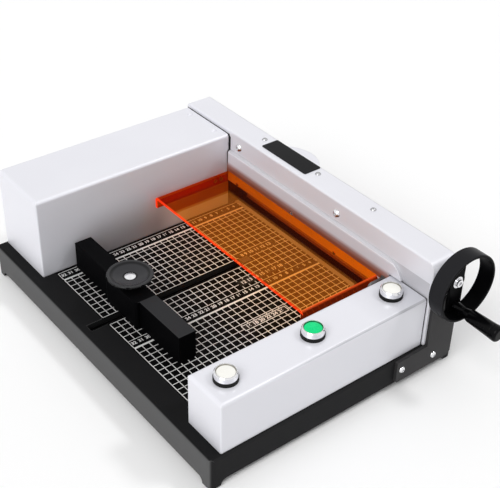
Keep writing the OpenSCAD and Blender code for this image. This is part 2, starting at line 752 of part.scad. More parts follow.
module power_inlet() placed() color("#1d1e20") {
    difference() {
        union() {
            along_x(left_x0 - 1.4, left_x0)
                soft_rect([inlet_y[0] - 5, inlet_y[1] + 5], [inlet_z[0] - 3, inlet_z[1] + 3], [3, 3, 3, 3]);
            block([left_x0 - over, left_x0 + 18], inlet_y + [0.2, -0.2], inlet_z + [0.2, -0.2]);
        }
        block([left_x0 - 5, left_x0 + 15], inlet_y + [2, -2], inlet_z + [2, -2]);
    }
    for (k = [-1, 0, 1])
        translate([left_x0 + 10, (inlet_y[0] + inlet_y[1]) / 2 + k * 7,
            (inlet_z[0] + inlet_z[1]) / 2 + (k == 0 ? 2 : -2)]) cube([12, 2, 4], center = true);
}

// Push buttons

module button_bezels() placed() color("#d9dcdf")
    for (y = button_y) translate([button_x, y, 0]) rotate_extrude() difference() {
        union() {
            translate([8, barrel_z0]) square([barrel_r - 8, bezel_z0 - barrel_z0 + over]);
            polygon([[8, bezel_z0], [bezel_r, bezel_z0], [bezel_r - 0.4, bezel_z1 - 1.2],
                [bezel_r - 1.4, bezel_z1], [8, bezel_z1]]);
        }
        translate([0, bezel_floor]) square([lens_r + slide, 40]);
    }

module button_gaskets() placed() color("#141414")
    for (y = button_y) difference() {
        rod_z(right_h, bezel_z0, button_x, y, bezel_r + 0.6);
        rod_z(right_h - over, bezel_z0 + over, button_x, y, barrel_r + 0.1);
    }

module contact_blocks() placed() color("#2a2c2f")
    for (y = button_y) block([button_x - 12, button_x + 12], [y - 12, y + 12], [barrel_z0 - 26, barrel_z0]);

module button_lens(y) {
    translate([button_x, y, lens_z1 - lens_dome]) dome(lens_r, lens_dome);
    rod_z(lens_z0, lens_z1 - lens_dome + 0.1, button_x, y, lens_r);
    rod_z(barrel_z0 + button_travel + 0.5, lens_z0 + over, button_x, y, 6);
}

module front_button() placed() color("#f0f0ec") button_lens(button_y[0]);

module middle_button() placed() color("#2fb04a") button_lens(button_y[1]);

module rear_button() placed() color("#f0f0ec") button_lens(button_y[2]);

// Guard

module safety_guard() placed() color("#e0761c") difference() {
    along_y(guard_y0, guard_y1) difference() {
        soft_rect([guard_x0, guard_x1], [guard_z0, guard_h], [0, 0, 6, 6]);
        soft_rect([guard_x0 + guard_t, guard_x1 - guard_t], [guard_z0 - over, guard_h - guard_t],
            [0, 0, 2, 2]);
    }
    rod_x(guard_x0 - over, guard_x0 + guard_t + over, pivot_y, pivot_z, pivot_r + run);
    rod_x(guard_x1 - guard_t - over, guard_x1 + over, pivot_y, pivot_z, pivot_r + run);
    rod_x(guard_x0 - over, guard_x0 + guard_t + over, pivot_y - 9, pivot_z - 1, 1.5 + run);
}

module guard_pivots() placed() color("#c9ccce") {
    rod_x(throat_x0 - 4, guard_x0 + guard_t + head_gap + over, pivot_y, pivot_z, pivot_r);
    rod_x(guard_x0 + guard_t + head_gap, guard_x0 + guard_t + head_gap + 2, pivot_y, pivot_z, pivot_head_r);
    rod_x(guard_x1 - guard_t - head_gap - over, lug_x + 3.5, pivot_y, pivot_z, pivot_r);
    rod_x(guard_x1 - guard_t - head_gap - 2, guard_x1 - guard_t - head_gap, pivot_y, pivot_z, pivot_head_r);
}

module guard_stop() placed() color("#c9ccce") {
    rod_x(guard_x0 - 1.2, guard_x0 + guard_t + over, pivot_y - 9, pivot_z - 1, 1.5);
    rod_x(guard_x0 + guard_t, guard_x0 + guard_t + 1.6, pivot_y - 9, pivot_z - 1, 3);
}

module guard_bracket() placed() color("#c9ccce") difference() {
    union() {
        block([lug_x, lug_x + lug_w], [blister_y - 2, blister_y], [pivot_z - 8, pivot_z + 10]);
        block([lug_x, lug_x + 3.5], [pivot_y, blister_y - over], [pivot_z - 7, pivot_z + 7]);
        rod_x(lug_x, lug_x + 3.5, pivot_y, pivot_z, 7);
        for (z = guard_tab_z) translate([lug_screw_x, blister_y - 2, z]) rotate([90, 0, 0]) dome(2.6, 1.4);
        for (z = guard_tab_z) rod_y(blister_y - over, blister_y + 4, lug_screw_x, z, 1.5);
    }
    rod_x(lug_x - over, lug_x + 5, pivot_y, pivot_z, pivot_r + 0.005);
}

// Back gauge

module back_gauge() placed() color("#1e1f21") difference() {
    union() {
        block([gauge_x0, gauge_x0 + gauge_l], [gauge_y0, gauge_y1], [gauge_lift, gauge_h]);
        along_z(gauge_lift, gauge_h) soft_rect(boss_x, [boss_y0, gauge_y0 + 12], [5, 5, 0, 0]);
        rod_z(gauge_h - over, pad_z, slot_x, knob_y, 11);
    }
    rod_z(gauge_lift - over, pad_z + over, slot_x, knob_y, stud_r + pin_fit);
}

module gauge_key() placed() color("#9a9da0") difference() {
    block([slot_x - slot_w / 2 + slide, slot_x + slot_w / 2 - slide], key_y, [-table_t + 1, gauge_lift]);
    rod_z(-table_t - over, gauge_lift + over, slot_x, knob_y, stud_r + pin_fit);
}

module gauge_stud() placed() color("#9a9da0") {
    block([slot_x - tee_half, slot_x + tee_half], key_y, [tee_z0, -table_t - 0.4]);
    rod_z(tee_z0 + over, knob_z0 + 6, slot_x, knob_y, stud_r);
}

module gauge_knob() placed() color("#1a1b1d") translate([slot_x, knob_y, knob_z0]) difference() {
    rotate_extrude() difference() {
        union() {
            polygon([[0, 0], [12, 0], [13, 3], [knob_r - knob_rim, knob_h - 2 * knob_rim],
                [knob_r - knob_rim, knob_h], [0, knob_h]]);
            translate([knob_r - knob_rim, knob_h - knob_rim]) circle(knob_rim);
        }
        translate([0, knob_dish + dish_r]) circle(dish_r, $fn = 180);
        translate([0, cap_z]) square([cap_r + 0.2, knob_h]);
        translate([-dish_r, -over]) square([dish_r, 3 * dish_r]);
    }
    for (k = [0 : lobes - 1]) rotate(k * 360 / lobes)
        translate([knob_r + 7.9, 0, -over]) cylinder(h = knob_h + 2 * over, r = 9);
    translate([0, 0, -over]) cylinder(h = 7.2 + over, r = stud_r + run);
}

module knob_cap() placed() color("#e6e7e8") translate([slot_x, knob_y, knob_z0 + cap_z]) {
    cylinder(h = 1.2, r = cap_r);
    translate([0, 0, 1]) dome(cap_r, 1.4);
}

// Clamp drive

module clamp_beam() placed() color("#8f9396") difference() {
    union() {
        block([guide_x0 + 0.8, guide_x1 - 0.8], [clamp_y0, clamp_y1], [clamp_z0, clamp_z1]);
        block([guide_x0 + 0.8 - tongue_l, guide_x1 - 0.8 + tongue_l],
            [screw_y - tongue_w / 2, screw_y + tongue_w / 2], [clamp_z0, clamp_z1]);
    }
    rod_z(clamp_z0 + 1.2, clamp_z1 + over, screw_x, screw_y, screw_r + 0.6);
}

module clamp_nut() placed() color("#b08d57") difference() {
    block([screw_x - 13, screw_x + 13], [clamp_y0 + 0.5, clamp_y1], [clamp_z1, nut_z1]);
    rod_z(clamp_z1 - over, nut_z1 + over, screw_x, screw_y, screw_r + run);
}

module clamp_screw() placed() color("#a8abad") {
    rod_z(clamp_z0 + 1.6, crown_top + 1, screw_x, screw_y, screw_r);
    rod_z(collar_z0, arm_z0 - slide, screw_x, screw_y, screw_r + 3.5);
}

module crown_gear() placed() color("#b8bbbd") difference() {
    translate([screw_x, screw_y, 0]) {
        translate([0, 0, crown_root]) cylinder(h = crown_top - crown_root, r = crown_r + tooth_l / 2);
        translate([0, 0, arm_z1 + slide]) cylinder(h = crown_top - arm_z1 - slide, r = 9);
        for (k = [0 : crown_teeth - 1]) rotate(k * 360 / crown_teeth)
            along_x(crown_r - tooth_l / 2, crown_r + tooth_l / 2 - 0.2)
                polygon([[-0.25, crown_z - 0.88 * crown_m], [0.25, crown_z - 0.88 * crown_m],
                    [1.3, crown_root + 0.3], [-1.3, crown_root + 0.3]]);
    }
    rod_z(arm_z1, crown_top + over, screw_x, screw_y, screw_r);
}

module cross_shaft() placed() color("#a8abad")
    rod_x(pinion_x0 - 1.5, wheel_x0 + bar_t - 2, wheel_y, shaft_z, shaft_r);

module shaft_pinion() placed() color("#b8bbbd") translate([0, wheel_y, shaft_z]) difference() {
    union() {
        along_x(pinion_x0, pinion_x1) rotate(90 + 180 / pinion_teeth)
            gear_outline(pinion_teeth, crown_m, 1.2 * crown_m, crown_m, 1.3 * crown_m);
        rod_x(pinion_x1 - over, pinion_x1 + 6, 0, 0, 8);
    }
    rod_x(pinion_x0 - over, pinion_x1 + 10, 0, 0, shaft_r);
}

module handwheel() placed() color("#1a1b1d") translate([0, wheel_y, shaft_z]) difference() {
    union() {
        translate([wheel_x0, 0, 0]) rotate([0, 90, 0]) rotate_extrude()
            soft_rect([wheel_r - rim_t, wheel_r], [0, rim_w], [1, 1.5, 1.5, 1.5]);
        along_x(wheel_x0, wheel_x0 + bar_t) intersection() {
            circle(wheel_r - rim_t / 2);
            translate([-11, -wheel_r]) square([22, 2 * wheel_r]);
        }
        rod_x(wheel_x0 - 5.1, wheel_x0 + bar_t, 0, 0, 12);
    }
    rod_x(wheel_x0 - 10, wheel_x0 + bar_t - 2, 0, 0, shaft_r);
    rod_x(wheel_x0, wheel_x0 + bar_t + over, 0, 0, 3 + pin_fit);
    rod_x(wheel_x0 - over, wheel_x0 + bar_t + over, 0, -crank_arm, spindle_r);
}

module hub_bolt() placed() color("#d9dcdf")
    translate([wheel_x0 + bar_t, wheel_y, shaft_z]) rotate([0, 90, 0]) {
        cylinder(h = 1, r = 7.8);
        translate([0, 0, 0.8]) difference() {
            cylinder(h = 3.6, r = 5);
            translate([0, 0, 1.2]) cylinder(h = 4, r = 2.5, $fn = 6);
        }
        translate([0, 0, -2]) cylinder(h = 2.5, r = 3);
    }

module crank_spindle() placed() color("#b8bbbd")
    rod_x(wheel_x0, grip_x1 - 14, wheel_y, shaft_z - crank_arm, spindle_r);

module crank_grip() placed() color("#161719")
    translate([grip_x0, wheel_y, shaft_z - crank_arm]) rotate([0, 90, 0]) difference() {
        rotate_extrude() union() {
            polygon([[0, 0], [grip_r * 0.6, 0], [grip_r * 0.6, rim_w - bar_t],
                [grip_r * 0.84, rim_w - bar_t + 8], [grip_r * 0.96, grip_l - grip_cap - grip_neck],
                [grip_r * 0.86, grip_l - grip_cap - grip_neck], [grip_r * 0.86, grip_l - grip_cap + 0.5],
                [0, grip_l - grip_cap + 0.5]]);
            soft_rect([0, grip_r], [grip_l - grip_cap, grip_l], [0, 1, 3.2, 0]);
        }
        translate([0, 0, -over]) cylinder(h = grip_l - 13.5 + over, r = spindle_r + run);
    }

// Blade and its drive

module rack_teeth() for (k = [0 : floor((stroke + 7) / (PI * drive_m))])
    translate([0, k * PI * drive_m]) scale(drive_m)
        polygon([[-0.8, -0.37], [-0.8, 0.37], [1.4, 1.14], [1.4, -1.14]]);

module rack_frame() translate([rack_x, rack_z]) rotate(-blade_slant) children();

module blade_carrier() placed() color("#94989b") difference() {
    union() {
        block([pin_left_x + 4, pin_right_x + 11], [carrier_y0, carrier_y1], [band_z0, band_z1]);
        along_y(carrier_y0, carrier_y1)
            rack_frame() translate([1.25 * drive_m, -20]) square([28, stroke + 29]);
        along_y(carrier_y0, carrier_y1) rack_frame() rack_teeth();
    }
    block([drive_x - 60, drive_x + 60], [carrier_y0 - over, carrier_y1 + over], [-60, portal_z0 - 0.3]);
    for (x = [pin_left_x, pin_right_x]) rod_y(carrier_y0 + 1, carrier_y1 + over, x, pin_z, 4);
    for (x = blade_screw_x) rod_y(carrier_y0 - over, carrier_y1 + over, x, blade_screw_z, bolt_r + pin_fit);
    for (x = blade_screw_x) rod_y(carrier_y1 - 3, carrier_y1 + over, x, blade_screw_z, 5.3);
}

module blade() placed() color("#c4c8cb") difference() {
    along_x(blade_x0, blade_x1)
        polygon([[cut_y, blade_z0], [cut_y, blade_z1], [carrier_y0, blade_z1], [carrier_y0, blade_z0 + 11],
            [cut_y + 0.4, blade_z0]]);
    for (x = blade_screw_x) rod_y(cut_y + 1, carrier_y0 + over, x, blade_screw_z, bolt_r + pin_fit);
}

module blade_screws() placed() color("#7d8083")
    for (x = blade_screw_x) {
        rod_y(carrier_y1 - 3, carrier_y1, x, blade_screw_z, 5.1);
        rod_y(cut_y + 1.2, carrier_y1 - 2, x, blade_screw_z, bolt_r);
    }

module guide_pins() placed() color("#b8bbbd")
    for (x = [pin_left_x, pin_right_x]) {
        rod_y(carrier_y0 + 1.2, carrier_y1 + over, x, pin_z, 3.98);
        rod_y(carrier_y1, portal_y1 - 0.3, x, pin_z, guide_pin_r);
    }

module drive_shaft() placed() color("#a8abad")
    rod_y(gearbox_y1 - 7.5, portal_y1, drive_x, drive_z, drive_shaft_r);

module drive_pinion() placed() color("#b8bbbd") translate([drive_x, 0, drive_z]) difference() {
    along_y(carrier_y0, carrier_y1) rotate(180 / drive_teeth - blade_slant)
        gear_outline(drive_teeth, drive_m, 1.32 * drive_m, 0.9 * drive_m, 1.25 * drive_m);
    rod_y(carrier_y0 - over, carrier_y1 + over, 0, 0, drive_shaft_r);
}

base_tray();
foot_pads();
cutting_stick();
left_cover();
right_cover();
gantry_shell();
rear_cover();
top_screws();
front_screws();
rear_screws();
label_plate();
side_bracket();
bracket_screws();
portal_frame();
frame_bolts();
left_clamp_guide();
right_clamp_guide();
gear_bracket();
screw_bush();
shaft_bush();
bearing_flange();
drive_bush();
motor();
gearbox();
gearbox_bracket();
control_board();
power_inlet();
button_bezels();
button_gaskets();
contact_blocks();
guard_bracket();
guard_pivots();
safety_guard();
guard_stop();
back_gauge();
gauge_key();
gauge_stud();
gauge_knob();
knob_cap();
clamp_beam();
clamp_nut();
clamp_screw();
crown_gear();
cross_shaft();
shaft_pinion();
handwheel();
hub_bolt();
crank_spindle();
crank_grip();
blade_carrier();
blade();
blade_screws();
guide_pins();
drive_shaft();
drive_pinion();
front_button();
middle_button();
rear_button();
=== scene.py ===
import math

import bmesh
import bpy
from mathutils import Matrix, Vector


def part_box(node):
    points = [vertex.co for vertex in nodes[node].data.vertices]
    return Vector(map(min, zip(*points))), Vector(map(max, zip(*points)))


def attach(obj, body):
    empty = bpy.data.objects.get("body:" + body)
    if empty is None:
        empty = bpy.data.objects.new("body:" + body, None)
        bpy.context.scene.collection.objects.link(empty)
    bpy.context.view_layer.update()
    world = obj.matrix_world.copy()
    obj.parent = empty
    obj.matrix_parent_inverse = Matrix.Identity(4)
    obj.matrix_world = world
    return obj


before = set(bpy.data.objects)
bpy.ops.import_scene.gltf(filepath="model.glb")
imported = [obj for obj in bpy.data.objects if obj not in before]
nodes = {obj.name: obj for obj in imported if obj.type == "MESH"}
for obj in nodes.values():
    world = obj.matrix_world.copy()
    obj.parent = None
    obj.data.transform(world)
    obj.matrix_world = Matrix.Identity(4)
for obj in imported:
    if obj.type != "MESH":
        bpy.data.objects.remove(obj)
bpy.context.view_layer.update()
MM = 0.001

# Corners of the pieces that the finishes and the print are measured from
table_low, table_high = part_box("base_tray")
button_box_low, button_box_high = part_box("right_cover")
guard_low, guard_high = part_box("safety_guard")
wheel_low, wheel_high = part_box("handwheel")
motor_box_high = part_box("left_cover")[1]
gantry_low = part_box("gantry_shell")[0]
panel_y = gantry_low[1]
seam_y = motor_box_high[1]
table_z = table_high[2]

# Table zero: left ruler line, front border of the grid, table top
TABLE_ZERO = Vector((motor_box_high[0] + 4 * MM, table_low[1] + 35.3 * MM, table_z))


def on_table(x, y, z=0.0):
    """A point given in millimetres from the table zero."""
    return TABLE_ZERO + Vector((x, y, z)) * MM


def grey(level, blue=0.0):
    """A neutral tone, with a little more blue where the piece looks cold."""
    return (level, level, level + blue)


# Small helpers for node trees

def start_group(name, inputs, outputs):
    group = bpy.data.node_groups.new(name, "ShaderNodeTree")
    for label, kind, value in inputs:
        socket = group.interface.new_socket(label, in_out="INPUT", socket_type=kind)
        if value is not None:
            socket.default_value = value
    for label, kind in outputs:
        group.interface.new_socket(label, in_out="OUTPUT", socket_type=kind)
    return group, group.nodes.new("NodeGroupInput"), group.nodes.new("NodeGroupOutput")


def add(tree, kind, **settings):
    node = tree.nodes.new(kind)
    for key, value in settings.items():
        setattr(node, key, value)
    return node


def math_node(tree, operation, a, b, clamp=False):
    node = add(tree, "ShaderNodeMath", operation=operation, use_clamp=clamp)
    for index, source in enumerate((a, b)):
        if isinstance(source, (int, float)):
            node.inputs[index].default_value = source
        else:
            tree.links.new(source, node.inputs[index])
    return node.outputs[0]


def times(tree, a, b):
    return math_node(tree, "MULTIPLY", a, b)


def vector_node(tree, operation, a, b):
    node = add(tree, "ShaderNodeVectorMath", operation=operation)
    for index, source in enumerate((a, b)):
        if isinstance(source, (tuple, list)):
            node.inputs[index].default_value = source
        else:
            tree.links.new(source, node.inputs[index])
    return node


def remap(tree, source, low, high, to_low=0.0, to_high=1.0, smooth=False):
    node = add(tree, "ShaderNodeMapRange")
    if smooth:
        node.interpolation_type = "SMOOTHSTEP"
    for index, value in enumerate((low, high, to_low, to_high)):
        node.inputs[index + 1].default_value = value
    tree.links.new(source, node.inputs[0])
    return node.outputs[0]


def noise(tree, vector, scale, detail, rough):
    node = add(tree, "ShaderNodeTexNoise")
    tree.links.new(vector, node.inputs["Vector"])
    if isinstance(scale, (int, float)):
        node.inputs["Scale"].default_value = scale
    else:
        tree.links.new(scale, node.inputs["Scale"])
    node.inputs["Detail"].default_value = detail
    node.inputs["Roughness"].default_value = rough
    return node.outputs["Fac"]


def split_place(tree, output="Object"):
    """X, Y and Z of the resting place, or of the normal, of a point on the piece."""
    split = add(tree, "ShaderNodeSeparateXYZ")
    tree.links.new(add(tree, "ShaderNodeTexCoord").outputs[output], split.inputs[0])
    return [split.outputs[axis] for axis in "XYZ"]


def share_between(group, level, start, full):
    """Nought below the start level, one above the full level."""
    past = math_node(group, "SUBTRACT", level, start)
    span = math_node(group, "SUBTRACT", full, start)
    return math_node(group, "DIVIDE", past, span, clamp=True)


# Shader groups shared by several finishes

def surface_grain_group():
    """Fine grain of paint or moulding, with a slow drift of tone over the panel."""
    group, source, sink = start_group(
        "surface_grain",
        [("Grain Scale", "NodeSocketFloat", 900.0), ("Drift Scale", "NodeSocketFloat", 9.0)],
        [("Height", "NodeSocketFloat"), ("Grain", "NodeSocketFloat"), ("Drift", "NodeSocketFloat")],
    )
    place = add(group, "ShaderNodeTexCoord").outputs["Object"]
    grain = noise(group, place, source.outputs["Grain Scale"], 3.0, 0.55)
    drift = noise(group, place, source.outputs["Drift Scale"], 2.0, 0.5)
    group.links.new(grain, sink.inputs["Height"])
    group.links.new(remap(group, grain, 0.3, 0.7), sink.inputs["Grain"])
    group.links.new(remap(group, drift, 0.3, 0.7), sink.inputs["Drift"])
    return group


def soft_edge_group():
    """Rounded normal at sharp edges and a mask of where the edges are."""
    group, source, sink = start_group(
        "soft_edge",
        [("Radius", "NodeSocketFloat", 0.0006)],
        [("Normal", "NodeSocketVector"), ("Edge", "NodeSocketFloat")],
    )
    bevel = add(group, "ShaderNodeBevel", samples=4)
    group.links.new(source.outputs["Radius"], bevel.inputs["Radius"])
    plain = add(group, "ShaderNodeNewGeometry").outputs["True Normal"]
    dot = vector_node(group, "DOT_PRODUCT", bevel.outputs["Normal"], plain)
    group.links.new(bevel.outputs["Normal"], sink.inputs["Normal"])
    group.links.new(remap(group, dot.outputs["Value"], 0.99, 0.8), sink.inputs["Edge"])
    return group


def drawn_lines_group():
    """Long fine lines left by grinding or turning, along one axis of the piece."""
    group, source, sink = start_group(
        "drawn_lines",
        [("Stretch", "NodeSocketVector", (30.0, 900.0, 900.0))],
        [("Height", "NodeSocketFloat"), ("Tone", "NodeSocketFloat")],
    )
    place = add(group, "ShaderNodeTexCoord").outputs["Object"]
    scaled = vector_node(group, "MULTIPLY", place, source.outputs["Stretch"])
    lines = noise(group, scaled.outputs[0], 1.0, 3.0, 0.6)
    group.links.new(lines, sink.inputs["Height"])
    group.links.new(remap(group, lines, 0.3, 0.7), sink.inputs["Tone"])
    return group


def settled_dust_group():
    """Faces that look up, with the faint dust and hand marks that gather there."""
    group, source, sink = start_group(
        "up_faces_and_dust",
        [("Patch Scale", "NodeSocketFloat", 22.0)],
        [("Up", "NodeSocketFloat"), ("Dust", "NodeSocketFloat"), ("Smudge", "NodeSocketFloat")],
    )
    place = add(group, "ShaderNodeTexCoord").outputs["Object"]
    up = remap(group, split_place(group, "Normal")[2], 0.2, 0.9)
    patch = noise(group, place, source.outputs["Patch Scale"], 4.0, 0.6)
    speck = noise(group, place, 1600.0, 1.0, 0.5)
    patched = remap(group, patch, 0.4, 0.75)
    specks = remap(group, speck, 0.62, 0.78)
    both = math_node(group, "ADD", times(group, patched, 0.6), specks, clamp=True)
    group.links.new(up, sink.inputs["Up"])
    group.links.new(times(group, up, both), sink.inputs["Dust"])
    group.links.new(patched, sink.inputs["Smudge"])
    return group


def zone_group():
    """One inside a box given by two corners of the resting machine, nought outside."""
    group, source, sink = start_group(
        "zone",
        [("Low", "NodeSocketVector", None), ("High", "NodeSocketVector", None)],
        [("Inside", "NodeSocketFloat")],
    )
    place = add(group, "ShaderNodeTexCoord").outputs["Object"]
    inside = None
    for first, second in ((place, source.outputs["Low"]), (source.outputs["High"], place)):
        split = add(group, "ShaderNodeSeparateXYZ")
        group.links.new(vector_node(group, "SUBTRACT", first, second).outputs[0], split.inputs[0])
        for axis in "XYZ":
            past = math_node(group, "GREATER_THAN", split.outputs[axis], 0.0)
            inside = past if inside is None else times(group, inside, past)
    group.links.new(inside, sink.inputs["Inside"])
    return group


def wall_shade_group():
    """Shade on the throat side of the motor box, deepest at the table and towards the rear."""
    group, source, sink = start_group(
        "wall_shade",
        [("Face", "NodeSocketFloat", 0.0), ("Front", "NodeSocketFloat", 0.0),
         ("Foot", "NodeSocketFloat", 0.0)],
        [("Shade", "NodeSocketFloat")],
    )
    across, along, height = split_place(group)
    on_face = math_node(group, "GREATER_THAN", across, source.outputs["Face"])
    back = math_node(group, "SUBTRACT", along, source.outputs["Front"])
    rise = math_node(group, "SUBTRACT", height, source.outputs["Foot"])
    climbing = math_node(group, "SUBTRACT", rise, times(group, back, 0.10))
    low = remap(group, climbing, 76 * MM, -6 * MM, smooth=True)
    deep = remap(group, back, 5 * MM, 75 * MM, smooth=True)
    under_guard = remap(group, back, 158 * MM, 190 * MM, 1.0, 0.60, smooth=True)
    spread = times(group, deep, under_guard)
    group.links.new(times(group, times(group, low, spread), on_face), sink.inputs["Shade"])
    return group


def side_facing_group():
    """Masks of the faces that look to the front of the machine and to its wheel side."""
    group, source, sink = start_group(
        "side_facing",
        [("Start", "NodeSocketFloat", 0.55), ("Full", "NodeSocketFloat", 0.85)],
        [("Front", "NodeSocketFloat"), ("Wheel Side", "NodeSocketFloat")],
    )
    across, along, _ = split_place(group, "Normal")
    for label, turned in (("Front", times(group, along, -1.0)), ("Wheel Side", across)):
        share = share_between(group, turned, source.outputs["Start"], source.outputs["Full"])
        group.links.new(share, sink.inputs[label])
    return group


def fade_group():
    """Runs from nought to one between two levels measured along one direction of the machine."""
    group, source, sink = start_group(
        "fade",
        [("Direction", "NodeSocketVector", (0.0, 0.0, 1.0)), ("Start", "NodeSocketFloat", 0.0),
         ("Full", "NodeSocketFloat", 1.0)],
        [("Share", "NodeSocketFloat")],
    )
    place = add(group, "ShaderNodeTexCoord").outputs["Object"]
    level = vector_node(group, "DOT_PRODUCT", place, source.outputs["Direction"]).outputs["Value"]
    share = share_between(group, level, source.outputs["Start"], source.outputs["Full"])
    group.links.new(share, sink.inputs["Share"])
    return group


def wheel_rim_group():
    """One on the outer face of the wheel's rim, nought nearer its axis."""
    group, source, sink = start_group(
        "wheel_rim",
        [("Axis", "NodeSocketVector", None), ("Radius", "NodeSocketFloat", 0.045)],
        [("Outer", "NodeSocketFloat")],
    )
    place = add(group, "ShaderNodeTexCoord").outputs["Object"]
    flat = vector_node(group, "MULTIPLY", place, (0.0, 1.0, 1.0)).outputs[0]
    away = vector_node(group, "DISTANCE", flat, source.outputs["Axis"]).outputs["Value"]
    past = math_node(group, "SUBTRACT", away, source.outputs["Radius"])
    group.links.new(remap(group, past, -1.4 * MM, -0.6 * MM), sink.inputs["Outer"])
    return group


def round_face_group():
    """Distance from the upright axis of a round piece, one at its widest."""
    group, source, sink = start_group(
        "round_face",
        [("Centre", "NodeSocketVector", (0.5, 0.5, 0.0))],
        [("Radius", "NodeSocketFloat")],
    )
    place = add(group, "ShaderNodeTexCoord").outputs["Generated"]
    flat = vector_node(group, "MULTIPLY", place, (1.0, 1.0, 0.0)).outputs[0]
    away = vector_node(group, "DISTANCE", flat, source.outputs["Centre"]).outputs["Value"]
    group.links.new(times(group, away, 2.0), sink.inputs["Radius"])
    return group


GRAIN = surface_grain_group()
SOFT_EDGE = soft_edge_group()
DRAWN = drawn_lines_group()
UP_AND_DUST = settled_dust_group()
ZONE = zone_group()
WALL_SHADE = wall_shade_group()
SIDE_FACING = side_facing_group()
FADE = fade_group()
WHEEL_RIM = wheel_rim_group()
ROUND_FACE = round_face_group()


# Ways to make a finish

PAINT_DEPTH = 0.0004
METAL_DEPTH = 0.0002
LENS_DEPTH = 0.0003
INK_DEPTH = 0.0002
GRAIN_ROUGH = 0.06
SMUDGE_ROUGH = 0.05


def use(tree, group, **values):
    node = add(tree, "ShaderNodeGroup", node_tree=group)
    for label, value in values.items():
        node.inputs[label.replace("_", " ")].default_value = value
    return node


def mixed(tree, mask, first, second):
    node = add(tree, "ShaderNodeMix", data_type="RGBA")
    tree.links.new(mask, node.inputs["Factor"])
    for index, colour in ((6, first), (7, second)):
        if isinstance(colour, (tuple, list)):
            node.inputs[index].default_value = (*colour, 1.0)
        else:
            tree.links.new(colour, node.inputs[index])
    return node.outputs[2]


def finish(name, **sockets):
    """A material with one Principled shader; plain numbers go straight onto its sockets."""
    material = bpy.data.materials.new(name)
    material.use_nodes = True
    tree = material.node_tree
    shader = tree.nodes["Principled BSDF"]
    for label, value in sockets.items():
        shader.inputs[label.replace("_", " ")].default_value = value
    return material, tree, shader


def roughened(tree, shader, height, strength, distance, base_normal=None):
    bump = add(tree, "ShaderNodeBump")
    bump.inputs["Strength"].default_value = strength
    bump.inputs["Distance"].default_value = distance
    tree.links.new(height, bump.inputs["Height"])
    if base_normal is not None:
        tree.links.new(base_normal, bump.inputs["Normal"])
    tree.links.new(bump.outputs["Normal"], shader.inputs["Normal"])


def painted(name, colour, shade, edge, dust, rough, grain, bump, radius, dust_amount, edge_amount=0.35,
            top=None, dish_shading=(), sides=None, rim=None, zones=(), fades=(), wall=None, **sockets):
    """Paint or moulding: tone drift, fine grain, softened edges, a little dust, and tones by place.

    top is the tone of faces that look up, and the rings of a knob's dished top run from the middle outwards;
    sides are the tones of the front and the wheel side, rim the wheel's outer face: all are painted light
    and shade.
    zones and fades are tones inside boxes: painted shade, except the print field of the base.
    Lighter edges are worn paint, and a painted highlight where they are much lighter.
    """
    material, tree, shader = finish(name, **sockets)
    grained = use(tree, GRAIN, Grain_Scale=grain, Drift_Scale=7.0)
    edges = use(tree, SOFT_EDGE, Radius=radius)
    up_and_dust = use(tree, UP_AND_DUST, Patch_Scale=18.0)
    tone = mixed(tree, grained.outputs["Drift"], colour, shade)
    if dish_shading:
        away = use(tree, ROUND_FACE)
        for start, full, ring_colour in dish_shading:
            ring = remap(tree, away.outputs["Radius"], start, full, smooth=True)
            top = mixed(tree, ring, top, ring_colour)
    if top is not None:
        tone = mixed(tree, up_and_dust.outputs["Up"], tone, top)
    if sides is not None:
        front_colour, wheel_side_colour = sides
        facing = use(tree, SIDE_FACING)
        tone = mixed(tree, facing.outputs["Front"], tone, front_colour)
        tone = mixed(tree, facing.outputs["Wheel Side"], tone, wheel_side_colour)
    if rim is not None:
        axis, rim_radius, rim_colour = rim
        outer = use(tree, WHEEL_RIM, Axis=axis, Radius=rim_radius)
        tone = mixed(tree, outer.outputs["Outer"], tone, rim_colour)
    tone = mixed(tree, times(tree, edges.outputs["Edge"], edge_amount), tone, edge)
    tone = mixed(tree, times(tree, up_and_dust.outputs["Dust"], dust_amount), tone, dust)
    for low, high, zone_colour, share in zones:
        zone = use(tree, ZONE, Low=low, High=high)
        tone = mixed(tree, times(tree, zone.outputs["Inside"], share), tone, zone_colour)
    for low, high, direction, start, full, fade_colour, share in fades:
        zone = use(tree, ZONE, Low=low, High=high)
        fade = use(tree, FADE, Direction=direction, Start=start, Full=full)
        mask = times(tree, zone.outputs["Inside"], fade.outputs["Share"])
        tone = mixed(tree, times(tree, mask, share), tone, fade_colour)
    if wall is not None:
        shaded = use(tree, WALL_SHADE, **wall)
        tone = mixed(tree, times(tree, shaded.outputs["Shade"], FOOT_SHARE), tone, FOOT_SHADE)
    tree.links.new(tone, shader.inputs["Base Color"])
    uneven = math_node(tree, "ADD", times(tree, grained.outputs["Grain"], GRAIN_ROUGH),
                       times(tree, up_and_dust.outputs["Smudge"], SMUDGE_ROUGH))
    tree.links.new(math_node(tree, "ADD", uneven, rough), shader.inputs["Roughness"])
    roughened(tree, shader, grained.outputs["Height"], bump, PAINT_DEPTH, edges.outputs["Normal"])
    return material


def metal(name, colour, shade, rough, stretch, bump, edge_radius=0.0004, edge_reflection_colour=None):
    """Bare metal with drawn lines, and darker edges where given, a painted reflection."""
    material, tree, shader = finish(name, Metallic=1.0)
    lines = use(tree, DRAWN, Stretch=stretch)
    edges = use(tree, SOFT_EDGE, Radius=edge_radius)
    tone = mixed(tree, lines.outputs["Tone"], colour, shade)
    if edge_reflection_colour is not None:
        tone = mixed(tree, edges.outputs["Edge"], tone, edge_reflection_colour)
    tree.links.new(tone, shader.inputs["Base Color"])
    spread = remap(tree, lines.outputs["Tone"], 0.0, 1.0, rough * 0.8, rough * 1.25)
    tree.links.new(spread, shader.inputs["Roughness"])
    roughened(tree, shader, lines.outputs["Height"], bump, METAL_DEPTH, edges.outputs["Normal"])
    return material
